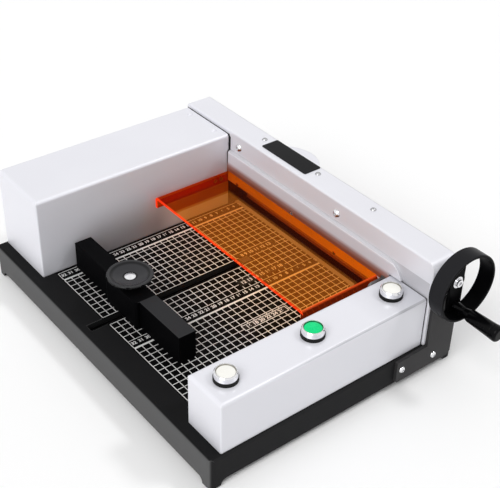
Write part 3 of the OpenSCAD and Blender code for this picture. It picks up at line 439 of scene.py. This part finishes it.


# Silver covers: painted shade in seams, on the ledge, at the feet and far ends; painted edge highlights

# The much lighter edge tone of the silver paint is a painted highlight
COVER_SILVER = dict(
    colour=(0.800, 0.800, 0.850), shade=(0.770, 0.770, 0.822), edge=(0.97, 0.97, 0.98),
    dust=(0.66, 0.66, 0.68), rough=0.40, grain=1500.0, bump=0.05, radius=0.0016, dust_amount=0.06,
    Metallic=0.18, Coat_Weight=0.30, Coat_Roughness=0.16)
# Painted shade: the gantry's faces inside the seams are painted near black
SEAM_SHADE = grey(0.004)
FOOT_SHADE = (0.030, 0.012, 0.012)
FOOT_SHARE = 0.66
# Painted shade on the gantry panel's ledge
LEDGE_SHADE = (0.42, 0.41, 0.43)
TOWARDS_REAR = (0.0, 1.0, 0.0)
DOWNWARDS = (0.0, 0.0, -1.0)

motor_seam = (Vector((gantry_low[0] - MM, seam_y + 0.5 * MM, table_z)),
              Vector((motor_box_high[0] - 0.3 * MM, seam_y + 4 * MM, motor_box_high[2] - 0.4 * MM)))
button_seam = (Vector((button_box_low[0] + 0.3 * MM, seam_y + 0.5 * MM, table_z)),
               Vector((button_box_high[0] - 0.3 * MM, seam_y + 4 * MM, button_box_high[2] - 0.4 * MM)))
corner_seam = (Vector((motor_box_high[0], panel_y - MM, table_z + 43 * MM)),
               Vector((motor_box_high[0] + 2.2 * MM, seam_y + 4 * MM, table_z + 112 * MM)))
panel_ledge = (Vector((motor_box_high[0] + 2.2 * MM, panel_y + 0.6 * MM, table_z + 60 * MM)),
               Vector((button_box_high[0], seam_y + 2.4 * MM, table_z + 92 * MM)))
# Painted shade on the gantry: near black in the seams, darker on the panel's ledge
GANTRY_ZONES = (
    (*motor_seam, SEAM_SHADE, 1.0),
    (*button_seam, SEAM_SHADE, 1.0),
    (*corner_seam, SEAM_SHADE, 1.0),
    (*panel_ledge, LEDGE_SHADE, 0.55),
)

# Brown shade on the gantry's front panel, from a little below the guard's top to a little above it
guard_top = guard_high[2]
guard_gap = panel_y - guard_high[1]
shade_foot = guard_top - 1.13 * guard_gap - 0.8 * MM
panel_foot = (Vector((motor_box_high[0], panel_y - MM, shade_foot)),
              Vector((button_box_low[0], panel_y + 0.6 * MM, guard_top + 30 * MM)))
GANTRY_FADES = (
    (*panel_foot, DOWNWARDS, -guard_top - 12.5 * MM, -guard_top - 7 * MM, (0.38, 0.18, 0.145), 0.80),
    (*panel_foot, DOWNWARDS, -guard_top - 8 * MM, -guard_top - 1 * MM, (0.26, 0.048, 0.006), 0.85),
)

# Button box: painted shade towards the rear of its top and along its long outer edge
just_past_box = button_box_high + Vector((MM, MM, MM))
box_top = (Vector((button_box_low[0] - MM, button_box_low[1], button_box_high[2] - 0.6 * MM)), just_past_box)
box_edge = (Vector((button_box_high[0] - 2.6 * MM, button_box_low[1], button_box_high[2] - 2.6 * MM)),
            just_past_box)
BUTTON_BOX_FADES = (
    (*box_top, TOWARDS_REAR, button_box_high[1] - 80 * MM, button_box_high[1], (0.42, 0.43, 0.47), 0.45),
    (*box_edge, TOWARDS_REAR, button_box_low[1] + 60 * MM, button_box_low[1] + 170 * MM,
     (0.42, 0.42, 0.45), 0.75),
)

COVER_PAINT = painted("cover_paint", edge_amount=0.8, **COVER_SILVER)
# Button box: its wheel side is painted darker, a painted shade, and its edges get a weaker painted highlight
BUTTON_BOX_PAINT = painted(
    "button_box_paint", edge_amount=0.25, sides=(COVER_SILVER["colour"], (0.71, 0.71, 0.755)),
    fades=BUTTON_BOX_FADES, **COVER_SILVER)
MOTOR_BOX_PAINT = painted(
    "motor_box_paint", edge_amount=0.8,
    wall={"Face": motor_box_high[0] - 0.4 * MM, "Front": TABLE_ZERO[1], "Foot": table_z}, **COVER_SILVER)
GANTRY_PAINT = painted(
    "gantry_paint", edge_amount=0.8, zones=GANTRY_ZONES, fades=GANTRY_FADES, **COVER_SILVER)


# Black and grey paints, mouldings and rubber

PRINT_FIELD = ((on_table(-4.0, -2.0, -1.0), on_table(326.0, 330.0, 1.0), grey(0.0014, 0.0001), 1.0),)
# Base: painted shade on its top and wheel side, painted reflection on its front, painted edge highlights
TABLE_BLACK = painted(
    "table_black", colour=grey(0.022, 0.001), shade=grey(0.027, 0.001), edge=grey(0.130, 0.003),
    dust=grey(0.05), rough=0.42, grain=1100.0, bump=0.12, radius=0.0016, dust_amount=0.05, edge_amount=0.7,
    top=grey(0.0095, 0.0005), sides=(grey(0.102, 0.001), grey(0.0170, 0.0008)), zones=PRINT_FIELD,
    Specular_IOR_Level=0.03)
# Painted shade on the gauge's left arm and boss tops; its other tops get a painted light from above
GAUGE_TOP_SHADE = ((on_table(-6.0, -120.0, 0.0), on_table(157.4, 330.0, 41.0), grey(0.0020, 0.0004), 0.95),)
GAUGE_BLACK = painted(
    "gauge_black", colour=grey(0.0010, 0.0003), shade=grey(0.0018, 0.0004), edge=grey(0.012, 0.001),
    dust=grey(0.06), rough=0.45, grain=1300.0, bump=0.12, radius=0.0008, dust_amount=0.06,
    top=grey(0.033, 0.002), zones=GAUGE_TOP_SHADE, Specular_IOR_Level=0.014)
BRACKET_GREY = painted(
    "bracket_grey", colour=(0.030, 0.029, 0.030), shade=(0.036, 0.035, 0.036), edge=grey(0.10, 0.005),
    dust=grey(0.08), rough=0.46, grain=900.0, bump=0.14, radius=0.0006, dust_amount=0.08,
    Specular_IOR_Level=0.15)
CAST_GREY = painted(
    "cast_grey", colour=(0.060, 0.062, 0.065), shade=(0.075, 0.077, 0.080), edge=grey(0.16, 0.01),
    dust=grey(0.2), rough=0.5, grain=500.0, bump=0.3, radius=0.0008, dust_amount=0.12)
CLAMP_BLACK = painted(
    "clamp_black", colour=grey(0.012, 0.001), shade=grey(0.018, 0.001), edge=grey(0.06, 0.002),
    dust=grey(0.05), rough=0.40, grain=800.0, bump=0.1, radius=0.0005, dust_amount=0.06,
    Specular_IOR_Level=0.10)
MOTOR_GREY = painted(
    "motor_grey", colour=(0.16, 0.17, 0.18), shade=(0.20, 0.21, 0.22), edge=(0.45, 0.46, 0.48),
    dust=grey(0.3), rough=0.42, grain=700.0, bump=0.2, radius=0.0008, dust_amount=0.15)
# Rings on the knob's flat top paint the light and shade of a dished top, groove and rim; edges: painted
# highlight
KNOB_RING_SHADING = (
    (0.29, 0.34, grey(0.030, 0.003)),
    (0.68, 0.80, grey(0.009, 0.001)),
    (0.83, 0.89, grey(0.032, 0.002)),
)
KNOB_BLACK = painted(
    "knob_black", colour=grey(0.0015, 0.0003), shade=grey(0.0025, 0.0003), edge=grey(0.11, 0.005),
    dust=grey(0.08), rough=0.16, grain=1700.0, bump=0.02, radius=0.0012, dust_amount=0.06, edge_amount=0.7,
    top=grey(0.003), dish_shading=KNOB_RING_SHADING, Specular_IOR_Level=0.16)
# Faces that look up are painted lighter, a painted light from above
INLET_BLACK = painted(
    "inlet_black", colour=grey(0.0015, 0.0003), shade=grey(0.0025, 0.0003), edge=grey(0.05, 0.002),
    dust=grey(0.08), rough=0.16, grain=1700.0, bump=0.02, radius=0.0010, dust_amount=0.06,
    top=grey(0.022, 0.003), Specular_IOR_Level=0.16)
# The lighter outer face of the wheel's rim is a painted highlight
wheel_axis = (wheel_low + wheel_high) * Vector((0.0, 0.5, 0.5))
wheel_radius = (wheel_high[1] - wheel_low[1]) / 2
WHEEL_BLACK = painted(
    "wheel_black", colour=grey(0.0016, 0.0004), shade=grey(0.0026, 0.0004), edge=grey(0.030, 0.002),
    dust=grey(0.06), rough=0.28, grain=700.0, bump=0.14, radius=0.0010, dust_amount=0.04,
    rim=(wheel_axis, wheel_radius, grey(0.018, 0.002)), Specular_IOR_Level=0.035)
GRIP_BLACK = painted(
    "grip_black", colour=grey(0.0014, 0.0003), shade=grey(0.0022, 0.0004), edge=grey(0.04, 0.002),
    dust=grey(0.06), rough=0.10, grain=900.0, bump=0.02, radius=0.0012, dust_amount=0.03,
    Specular_IOR_Level=0.08)
PLATE_BLACK = painted(
    "plate_black", colour=grey(0.007, 0.001), shade=grey(0.010, 0.001), edge=grey(0.04), dust=grey(0.06),
    rough=0.30, grain=1500.0, bump=0.05, radius=0.0003, dust_amount=0.06, Specular_IOR_Level=0.06)
RUBBER_BLACK = painted(
    "rubber_black", colour=grey(0.006), shade=grey(0.010), edge=grey(0.02), dust=grey(0.06), rough=0.62,
    grain=1500.0, bump=0.25, radius=0.0005, dust_amount=0.10, Specular_IOR_Level=0.15)
BOARD_GREEN = painted(
    "board_green", colour=(0.02, 0.13, 0.06), shade=(0.03, 0.16, 0.07), edge=(0.10, 0.25, 0.12),
    dust=grey(0.2), rough=0.4, grain=900.0, bump=0.1, radius=0.0004, dust_amount=0.1)
STICK_IVORY = painted(
    "stick_ivory", colour=(0.70, 0.66, 0.56), shade=(0.64, 0.60, 0.50), edge=(0.75, 0.72, 0.62),
    dust=grey(0.5), rough=0.35, grain=700.0, bump=0.08, radius=0.0005, dust_amount=0.1)


# Bare metals

# Chrome's darker edges are a painted reflection of dark surroundings
CHROME = metal("chrome", grey(0.86, 0.01), grey(0.74, 0.02), 0.08, (160.0, 160.0, 160.0), 0.02, 0.0006,
               grey(0.16, 0.01))
STEEL = metal("turned_steel", (0.56, 0.57, 0.58), (0.48, 0.49, 0.50), 0.30, (60.0, 900.0, 900.0), 0.06)
BLADE_STEEL = metal("ground_blade", (0.66, 0.67, 0.68), (0.58, 0.59, 0.60), 0.22, (900.0, 900.0, 40.0), 0.05)
PLATE_STEEL = metal("plate_steel", grey(0.20), grey(0.15), 0.45, (80.0, 900.0, 900.0), 0.05)
BRONZE = metal("bearing_bronze", (0.55, 0.36, 0.16), (0.47, 0.30, 0.13), 0.32, (700.0, 700.0, 700.0), 0.06)


def top_screw_finish():
    """Screws painted over with the motor box, and bare ones along the gantry."""
    material, tree, shader = finish("top_screw_finish")
    past_motor_box = Vector((motor_box_high[0] - 2 * MM, -1.0, -1.0))
    bare = use(tree, ZONE, Low=past_motor_box, High=Vector((1.0, 1.0, 1.0)))
    lines = use(tree, DRAWN, Stretch=(500.0, 500.0, 500.0))
    edges = use(tree, SOFT_EDGE, Radius=0.0004)
    paint = mixed(tree, lines.outputs["Tone"], (0.80, 0.80, 0.85), (0.76, 0.76, 0.81))
    steel = mixed(tree, lines.outputs["Tone"], grey(0.46, 0.01), grey(0.34, 0.01))
    tree.links.new(mixed(tree, bare.outputs["Inside"], paint, steel), shader.inputs["Base Color"])
    tree.links.new(bare.outputs["Inside"], shader.inputs["Metallic"])
    tree.links.new(remap(tree, lines.outputs["Tone"], 0.0, 1.0, 0.25, 0.38), shader.inputs["Roughness"])
    roughened(tree, shader, lines.outputs["Height"], 0.04, METAL_DEPTH, edges.outputs["Normal"])
    return material


TOP_SCREW = top_screw_finish()


# Button lenses, guard sheet and ink

def lens_plastic(name, colour, shade, ring, glow):
    """Button lens: cloudy plastic with a darker rim, a painted shade of the bezel, and a little light of its
    own.
    """
    material, tree, shader = finish(name, Coat_Weight=0.08, Coat_Roughness=0.08, Emission_Strength=glow,
                                    Specular_IOR_Level=0.10)
    grained = use(tree, GRAIN, Grain_Scale=700.0, Drift_Scale=80.0)
    edges = use(tree, SOFT_EDGE, Radius=0.0008)
    away = use(tree, ROUND_FACE)
    rim = remap(tree, away.outputs["Radius"], 0.91, 0.95, smooth=True)
    body = mixed(tree, rim, mixed(tree, grained.outputs["Drift"], colour, shade), ring)
    tree.links.new(body, shader.inputs["Base Color"])
    tree.links.new(body, shader.inputs["Emission Color"])
    tree.links.new(remap(tree, grained.outputs["Grain"], 0.0, 1.0, 0.24, 0.34), shader.inputs["Roughness"])
    roughened(tree, shader, grained.outputs["Height"], 0.03, LENS_DEPTH, edges.outputs["Normal"])
    return material


LENS_WHITE = lens_plastic("lens_white", (0.90, 0.89, 0.845), (0.87, 0.86, 0.805), (0.42, 0.40, 0.34), 0.04)
LENS_GREEN = lens_plastic("lens_green", (0.004, 0.60, 0.19), (0.008, 0.68, 0.23), (0.002, 0.16, 0.05), 0.10)

# What the guard lets through, with tints darkened as painted shade, and its painted glow and edge highlights
GUARD_TINT = {
    "sheet": (0.94, 0.54, 0.150),
    "sheet drift": (0.90, 0.51, 0.140),
    "throat": (0.32, 0.042, 0.003),
    "left margin shade": (0.72, 0.122, 0.003),
    "rear left shade": (0.64, 0.158, 0.004),
    "rear right shade": (0.90, 0.250, 0.006),
    "left side": (0.58, 0.080, 0.006),
    "right side": (0.07, 0.005, 0.001),
    "hem": (0.30, 0.02, 0.002),
    "front cut": (0.90, 0.08, 0.01),
}
GUARD_PAINTED_GLOW = {
    "sheet": (0.105, 0.0255, 0.0016),
    "shaded": (0.014, 0.0014, 0.0003),
    "left side": (0.10, 0.008, 0.001),
    "right side": (0.085, 0.008, 0.001),
    "right hem": (0.45, 0.035, 0.008),
    "left crest": (0.30, 0.024, 0.004),
    "right crest": (0.80, 0.085, 0.014),
    "front cut": (0.84, 0.046, 0.010),
}


def guard_acrylic():
    """Clear orange acrylic, redder in its sides, with a painted glow and a painted highlight on its front
    cut edge.
    """
    material, tree, shader = finish("guard_acrylic", Transmission_Weight=0.988, IOR=1.05,
                                    Emission_Strength=0.8)
    across, along, height = split_place(tree)
    tint, light = GUARD_TINT, GUARD_PAINTED_GLOW

    def band(source, corner, start, end):
        """Nought at the start and one at the end, in millimetres from a corner of the guard."""
        return remap(tree, source, corner + start * MM, corner + end * MM)

    def without(mask, other):
        return math_node(tree, "SUBTRACT", mask, times(tree, mask, other))

    left = band(across, guard_low[0], 4.6, 3.6)
    right = band(across, guard_high[0], -4.6, -3.6)
    margin_shade = band(across, guard_low[0], 47.2, 46.0)
    top = band(height, guard_high[2], -4.8, -4.0)
    rim = band(height, guard_high[2], -2.2, -0.6)
    hem = band(height, guard_low[2], 1.2, 0.2)
    rear = band(along, guard_high[1], -13.4, -12.6)
    throat = band(along, guard_high[1], -31.5, -29.5)
    cut = band(along, guard_low[1], 0.7, 0.2)
    rightwards = remap(tree, across, guard_low[0], guard_high[0])
    front = without(cut, without(right, top))
    shaded = math_node(tree, "MAXIMUM", throat, margin_shade)
    crest = times(tree, math_node(tree, "MAXIMUM", left, right), rim)

    grained = use(tree, GRAIN, Grain_Scale=300.0, Drift_Scale=12.0)
    # Throat, left margin and rear band tints are painted shade; side and hem tints are depth and painted
    # shade
    sheet = mixed(tree, grained.outputs["Drift"], tint["sheet"], tint["sheet drift"])
    sheet = mixed(tree, throat, sheet, tint["throat"])
    sheet = mixed(tree, margin_shade, sheet, tint["left margin shade"])
    sheet = mixed(tree, rear, sheet, mixed(tree, rightwards, tint["rear left shade"], tint["rear right shade"]))
    sheet = mixed(tree, left, sheet, tint["left side"])
    sheet = mixed(tree, right, sheet, tint["right side"])
    sheet = mixed(tree, hem, sheet, tint["hem"])
    tree.links.new(mixed(tree, front, sheet, tint["front cut"]), shader.inputs["Base Color"])

    # Emission is painted light: glow on the sheet, less where shade is painted, highlights on crests, hem
    # and cut
    glow = mixed(tree, shaded, light["sheet"], light["shaded"])
    glow = mixed(tree, left, glow, light["left side"])
    glow = mixed(tree, right, glow, light["right side"])
    glow = mixed(tree, times(tree, hem, right), glow, light["right hem"])
    glow = mixed(tree, crest, glow, mixed(tree, right, light["left crest"], light["right crest"]))
    tree.links.new(mixed(tree, front, glow, light["front cut"]), shader.inputs["Emission Color"])

    up_and_dust = use(tree, UP_AND_DUST, Patch_Scale=30.0)
    tree.links.new(remap(tree, up_and_dust.outputs["Smudge"], 0.0, 1.0, 0.0, 0.012), shader.inputs["Roughness"])
    return material


GUARD_ACRYLIC = guard_acrylic()


def printed_ink(name, colour, shade, rough):
    """A thin film of ink with a faint grain."""
    material, tree, shader = finish(name, Specular_IOR_Level=0.15)
    grained = use(tree, GRAIN, Grain_Scale=1200.0, Drift_Scale=30.0)
    tree.links.new(mixed(tree, grained.outputs["Drift"], colour, shade), shader.inputs["Base Color"])
    spread = remap(tree, grained.outputs["Grain"], 0.0, 1.0, rough, rough + 0.12)
    tree.links.new(spread, shader.inputs["Roughness"])
    roughened(tree, shader, grained.outputs["Height"], 0.05, INK_DEPTH)
    return material


TABLE_INK = printed_ink("table_ink", (0.68, 0.68, 0.67), (0.60, 0.60, 0.59), 0.42)
STRIP_GREY = printed_ink("strip_grey", (0.27, 0.26, 0.26), (0.22, 0.21, 0.21), 0.45)
BOX_INK = printed_ink("box_ink", grey(0.003), grey(0.005), 0.40)

NODE_FINISH = {
    MOTOR_BOX_PAINT: ("left_cover",),
    COVER_PAINT: ("rear_cover",),
    BUTTON_BOX_PAINT: ("right_cover",),
    GANTRY_PAINT: ("gantry_shell",),
    TOP_SCREW: ("top_screws",),
    TABLE_BLACK: ("base_tray",),
    GAUGE_BLACK: ("back_gauge",),
    BRACKET_GREY: ("side_bracket",),
    CAST_GREY: ("portal_frame", "gear_bracket", "gearbox_bracket"),
    MOTOR_GREY: ("motor", "gearbox"),
    KNOB_BLACK: ("gauge_knob",),
    INLET_BLACK: ("power_inlet", "contact_blocks"),
    WHEEL_BLACK: ("handwheel",),
    GRIP_BLACK: ("crank_grip",),
    PLATE_BLACK: ("label_plate",),
    RUBBER_BLACK: ("foot_pads", "button_gaskets"),
    BOARD_GREEN: ("control_board",),
    STICK_IVORY: ("cutting_stick",),
    CHROME: ("front_screws", "rear_screws", "bracket_screws", "button_bezels", "hub_bolt", "knob_cap"),
    STEEL: ("frame_bolts", "bearing_flange", "guard_pivots", "guard_stop", "gauge_key", "gauge_stud",
            "clamp_screw", "crown_gear", "cross_shaft", "shaft_pinion", "crank_spindle", "blade_carrier",
            "blade_screws", "guide_pins", "drive_shaft", "drive_pinion"),
    PLATE_STEEL: ("guard_bracket",),
    CLAMP_BLACK: ("clamp_beam", "left_clamp_guide", "right_clamp_guide"),
    BLADE_STEEL: ("blade",),
    BRONZE: ("screw_bush", "shaft_bush", "drive_bush", "clamp_nut"),
    GUARD_ACRYLIC: ("safety_guard",),
    LENS_WHITE: ("front_button", "rear_button"),
    LENS_GREEN: ("middle_button",),
}
for material, names in NODE_FINISH.items():
    for name in names:
        slots = nodes[name].data.materials
        slots.clear()
        slots.append(material)

# Lamp light reaches the table through the clear sheet
nodes["safety_guard"].visible_shadow = False


def new_piece(name, bm, material, body):
    mesh = bpy.data.meshes.new(name)
    bm.to_mesh(mesh)
    bm.free()
    piece = bpy.data.objects.new(name, mesh)
    bpy.context.scene.collection.objects.link(piece)
    mesh.materials.append(material)
    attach(piece, body)
    return piece


# Print on the table, in millimetres from the table zero

INK_LIFT = 0.06
FIELD_LIFT = 1.6 * INK_LIFT
FRAME_LIFT = 2.0 * INK_LIFT
SIZE_LIFT = 2.2 * INK_LIFT
CELL = 10.0
ROWS = 30
LINE = 1.05
RULER_LINE = 0.9
BOX_LINE = 1.2
GRID_END = 294.6
GRID_RIGHT = 325.2
STRIP_END = 301.4
CUT_LINE = 320.0
LEFT_RULER = (1.0, 15.6, 18.6)
RIGHT_RULER = (171.7, 185.1, 188.1)
SLOT_BAND = (113.4, 130.4)
SLOT_END_ROW = 23
SLOT_END_COLUMN = (119.6, 227.0)
SIZE_BOXES = (
    (229.6, 240.6, 128.0, 198.0, "16 18 20 22 24 26"),
    (153.8, 166.2, 178.0, 256.0, "12 13 14 15 16 17 18"),
    (105.0, 117.4, 213.0, 277.0, "8 9 10 11 12 13"),
)


def ink_bar(bm, x0, x1, y0, y1, lift=INK_LIFT):
    corners = [on_table(x, y, lift) for x, y in ((x0, y0), (x1, y0), (x1, y1), (x0, y1))]
    bm.faces.new([bm.verts.new(c) for c in corners])


def table_grid():
    """Centimetre grid in three blocks between two rulers and the slot, as thin films of ink."""
    bm = bmesh.new()
    half = LINE / 2
    blocks = ((LEFT_RULER[2], SLOT_BAND[0]), (SLOT_BAND[1], RIGHT_RULER[0]), (RIGHT_RULER[2], GRID_RIGHT))
    for start, end in blocks:
        for row in range(ROWS):
            ink_bar(bm, start, end, CELL * row - half, CELL * row + half)
    columns = [LEFT_RULER[2] + 5.0 + CELL * k for k in range(10)]
    columns += [SLOT_BAND[1] + CELL * k for k in range(4)]
    columns += [RIGHT_RULER[2] + 8.6 + CELL * k for k in range(13)]
    for x in columns:
        ink_bar(bm, x - half, x + half, 0.0, GRID_END)
    behind_slot, slot_end = SLOT_END_COLUMN
    ink_bar(bm, behind_slot, behind_slot + LINE, slot_end, GRID_END)
    for row in range(SLOT_END_ROW, ROWS):
        ink_bar(bm, *SLOT_BAND, CELL * row - half, CELL * row + half)
    for thin, thick_low, thick_high in (LEFT_RULER, RIGHT_RULER):
        ink_bar(bm, thin - RULER_LINE / 2, thin + RULER_LINE / 2, 0.0, GRID_END)
        ink_bar(bm, thick_low, thick_high, 0.0, GRID_END)
        ink_bar(bm, thin, thick_low, -0.4, 0.5)
    return new_piece("table_grid", bm, TABLE_INK, "frame")


def add_number(bm, scratch, words, size, bold, x, y, lift):
    """Flat numerals read from the right-hand side, centred on a point of the table."""
    text = bpy.data.curves.new("number", "FONT")
    text.body = words
    text.size = size * MM
    text.offset = bold * MM
    text.align_x = "CENTER"
    text.align_y = "CENTER"
    shape = bpy.data.objects.new("number", text)
    scratch.objects.link(shape)
    bpy.context.view_layer.update()
    graph = bpy.context.evaluated_depsgraph_get()
    mesh = bpy.data.meshes.new_from_object(shape.evaluated_get(graph))
    turn = Matrix.Rotation(math.radians(90.0), 4, "Z")
    mesh.transform(Matrix.Translation(on_table(x, y, lift)) @ turn)
    bm.from_mesh(mesh)
    bpy.data.meshes.remove(mesh)
    bpy.data.objects.remove(shape)
    bpy.data.curves.remove(text)


def ruler_numbers():
    """Centimetre numbers counted from the cut line, and plain sizes in the boxes."""
    scratch = bpy.data.collections.new("number_shapes")
    bpy.context.scene.collection.children.link(scratch)
    bm = bmesh.new()
    for thin, thick_low, thick_high in (LEFT_RULER, RIGHT_RULER):
        middle = (thin + thick_low) / 2 - 0.6
        for row in range(ROWS):
            count = round((CUT_LINE - CELL * row) / CELL)
            add_number(bm, scratch, str(count), 7.2, 0.24, middle, CELL * row + CELL / 2, INK_LIFT)
    for x0, x1, y0, y1, words in SIZE_BOXES:
        add_number(bm, scratch, words, 8.0, 0.28, (x0 + x1) / 2, (y0 + y1) / 2, SIZE_LIFT)
    bpy.data.collections.remove(scratch)
    return new_piece("ruler_numbers", bm, TABLE_INK, "frame")


def size_boxes():
    """Black fields that clear the grid behind the plain size numbers, the first of them framed."""
    field = bmesh.new()
    for x0, x1, y0, y1, words in SIZE_BOXES:
        ink_bar(field, x0, x1, y0, y1, FIELD_LIFT)
    border = bmesh.new()
    x0, x1, y0, y1, words = SIZE_BOXES[0]
    ink_bar(border, x0, x0 + BOX_LINE, y0, y1, FRAME_LIFT)
    ink_bar(border, x1 - BOX_LINE, x1, y0, y1, FRAME_LIFT)
    ink_bar(border, x0, x1, y0, y0 + BOX_LINE, FRAME_LIFT)
    ink_bar(border, x0, x1, y1 - BOX_LINE, y1, FRAME_LIFT)
    new_piece("size_fields", field, BOX_INK, "frame")
    new_piece("size_frame", border, TABLE_INK, "frame")


def rear_strip():
    """Flat grey strip across the table behind the grid, in front of the clamp."""
    bm = bmesh.new()
    ink_bar(bm, -3.0, 324.8, GRID_END, STRIP_END)
    return new_piece("rear_strip", bm, STRIP_GREY, "frame")


table_grid()
ruler_numbers()
size_boxes()
rear_strip()


# Small hardware that the solids leave out

def slot_end_plate():
    """Thin plate that closes the rear end of the gauge slot."""
    bm = bmesh.new()
    x0, x1, y0, y1 = 115.6, 126.6, 211.6, 225.6
    loops = []
    for inset, height in ((0.0, 0.0), (0.0, 0.10), (0.35, 0.18)):
        left, right, near, far = x0 + inset, x1 - inset, y0 + inset, y1 - inset
        corners = ((left, near), (right, near), (right, far), (left, far))
        loops.append([bm.verts.new(on_table(x, y, height)) for x, y in corners])
    for lower, upper in zip(loops, loops[1:]):
        for k in range(4):
            bm.faces.new((lower[k], lower[(k + 1) % 4], upper[(k + 1) % 4], upper[k]))
    bm.faces.new(loops[-1])
    bm.faces.new(list(reversed(loops[0])))
    return new_piece("slot_end_plate", bm, PLATE_STEEL, "frame")


# Radius and height of a domed head with its socket, in millimetres
SCREW_PROFILE = ((2.7, 0.0), (2.7, 0.4), (2.3, 1.0), (1.5, 1.35), (1.05, 1.4), (0.95, 0.75), (0.0, 0.75))
SCREW_SIDES = 24
PANEL_SCREW_X = (20.8, 227.5)
PANEL_SCREW_Z = 46.2


def panel_screws():
    """Two domed socket screws low on the raised front panel of the gantry."""
    bm = bmesh.new()
    for x in PANEL_SCREW_X:
        centre = on_table(x, 0.0, PANEL_SCREW_Z)
        rings = []
        for radius, out in SCREW_PROFILE:
            ring = []
            for k in range(SCREW_SIDES):
                turn = 2 * math.pi * k / SCREW_SIDES
                ring.append(bm.verts.new((centre[0] + radius * MM * math.cos(turn), panel_y - out * MM,
                                          centre[2] + radius * MM * math.sin(turn))))
            rings.append(ring)
        for inner, outer in zip(rings, rings[1:]):
            for k in range(SCREW_SIDES):
                after = (k + 1) % SCREW_SIDES
                bm.faces.new((inner[k], inner[after], outer[after], outer[k]))
    bmesh.ops.remove_doubles(bm, verts=bm.verts, dist=1e-7)
    bmesh.ops.recalc_face_normals(bm, faces=bm.faces)
    piece = new_piece("panel_screws", bm, CHROME, "frame")
    for face in piece.data.polygons:
        face.use_smooth = True
    return piece


slot_end_plate()
panel_screws()


# Stage: pale floor, soft light, camera at the photographed angle

def pale_floor():
    bm = bmesh.new()
    bmesh.ops.create_grid(bm, x_segments=8, y_segments=8, size=6.0)
    mesh = bpy.data.meshes.new("studio_floor")
    bm.to_mesh(mesh)
    bm.free()
    floor = bpy.data.objects.new("studio_floor", mesh)
    bpy.context.scene.collection.objects.link(floor)
    material, tree, shader = finish("floor_white", Roughness=0.7, Specular_IOR_Level=0.1)
    grained = use(tree, GRAIN, Grain_Scale=40.0, Drift_Scale=1.0)
    tone = mixed(tree, grained.outputs["Drift"], grey(0.97), grey(0.96))
    tree.links.new(tone, shader.inputs["Base Color"])
    mesh.materials.append(material)


def soft_sun(name, strength, width, towards):
    """A far soft lamp, its width in degrees; towards is the way to it from the table."""
    lamp = bpy.data.lights.new(name, "SUN")
    lamp.energy = strength
    lamp.angle = math.radians(width)
    holder = bpy.data.objects.new(name, lamp)
    holder.location = Vector(towards) * 2.0
    holder.rotation_euler = (-Vector(towards)).to_track_quat("-Z", "Y").to_euler()
    bpy.context.scene.collection.objects.link(holder)


def studio_world():
    """White where it is seen, mirrored or looked at through the guard, and softer as a light."""
    world = bpy.data.worlds.new("studio_world")
    bpy.context.scene.world = world
    world.use_nodes = True
    tree = world.node_tree
    backdrop = tree.nodes["Background"]
    rays = add(tree, "ShaderNodeLightPath")
    bent = math_node(tree, "MAXIMUM", rays.outputs["Is Glossy Ray"], rays.outputs["Is Transmission Ray"])
    seen = math_node(tree, "MAXIMUM", rays.outputs["Is Camera Ray"], bent)
    backdrop.inputs["Color"].default_value = (1.0, 1.0, 1.0, 1.0)
    tree.links.new(remap(tree, seen, 0.0, 1.0, 0.55, 1.0), backdrop.inputs["Strength"])


# Camera fitted to the grid on the table: place in millimetres, view axes, focal length in pixels
EYE = (1014.51, -488.37, 828.96)
AHEAD = (-0.63827, 0.51075, -0.57597)
RIGHTWARDS = (0.6133, 0.7896, 0.0205)
FOCAL_PIXELS = 1041.57
PHOTO_WIDTH = 500.0
SENSOR_WIDTH = 36.0


def photo_camera():
    ahead = Vector(AHEAD).normalized()
    right = Vector(RIGHTWARDS)
    right = (right - ahead * right.dot(ahead)).normalized()
    up = right.cross(ahead)
    camera = bpy.data.cameras.new("photo_camera")
    camera.sensor_width = SENSOR_WIDTH
    camera.lens = SENSOR_WIDTH * FOCAL_PIXELS / PHOTO_WIDTH
    camera.clip_end = 50.0
    holder = bpy.data.objects.new("photo_camera", camera)
    turn = Matrix((right, up, -ahead)).transposed().to_4x4()
    holder.matrix_world = Matrix.Translation(on_table(*EYE)) @ turn
    bpy.context.scene.collection.objects.link(holder)
    bpy.context.scene.camera = holder


pale_floor()
studio_world()
soft_sun("soft_key", 1.55, 40.0, (0.20, -0.68, 0.705))
soft_sun("edge_light", 0.60, 9.0, (0.375, 0.511, 0.774))
photo_camera()
bpy.context.scene.view_settings.view_transform = "Standard"
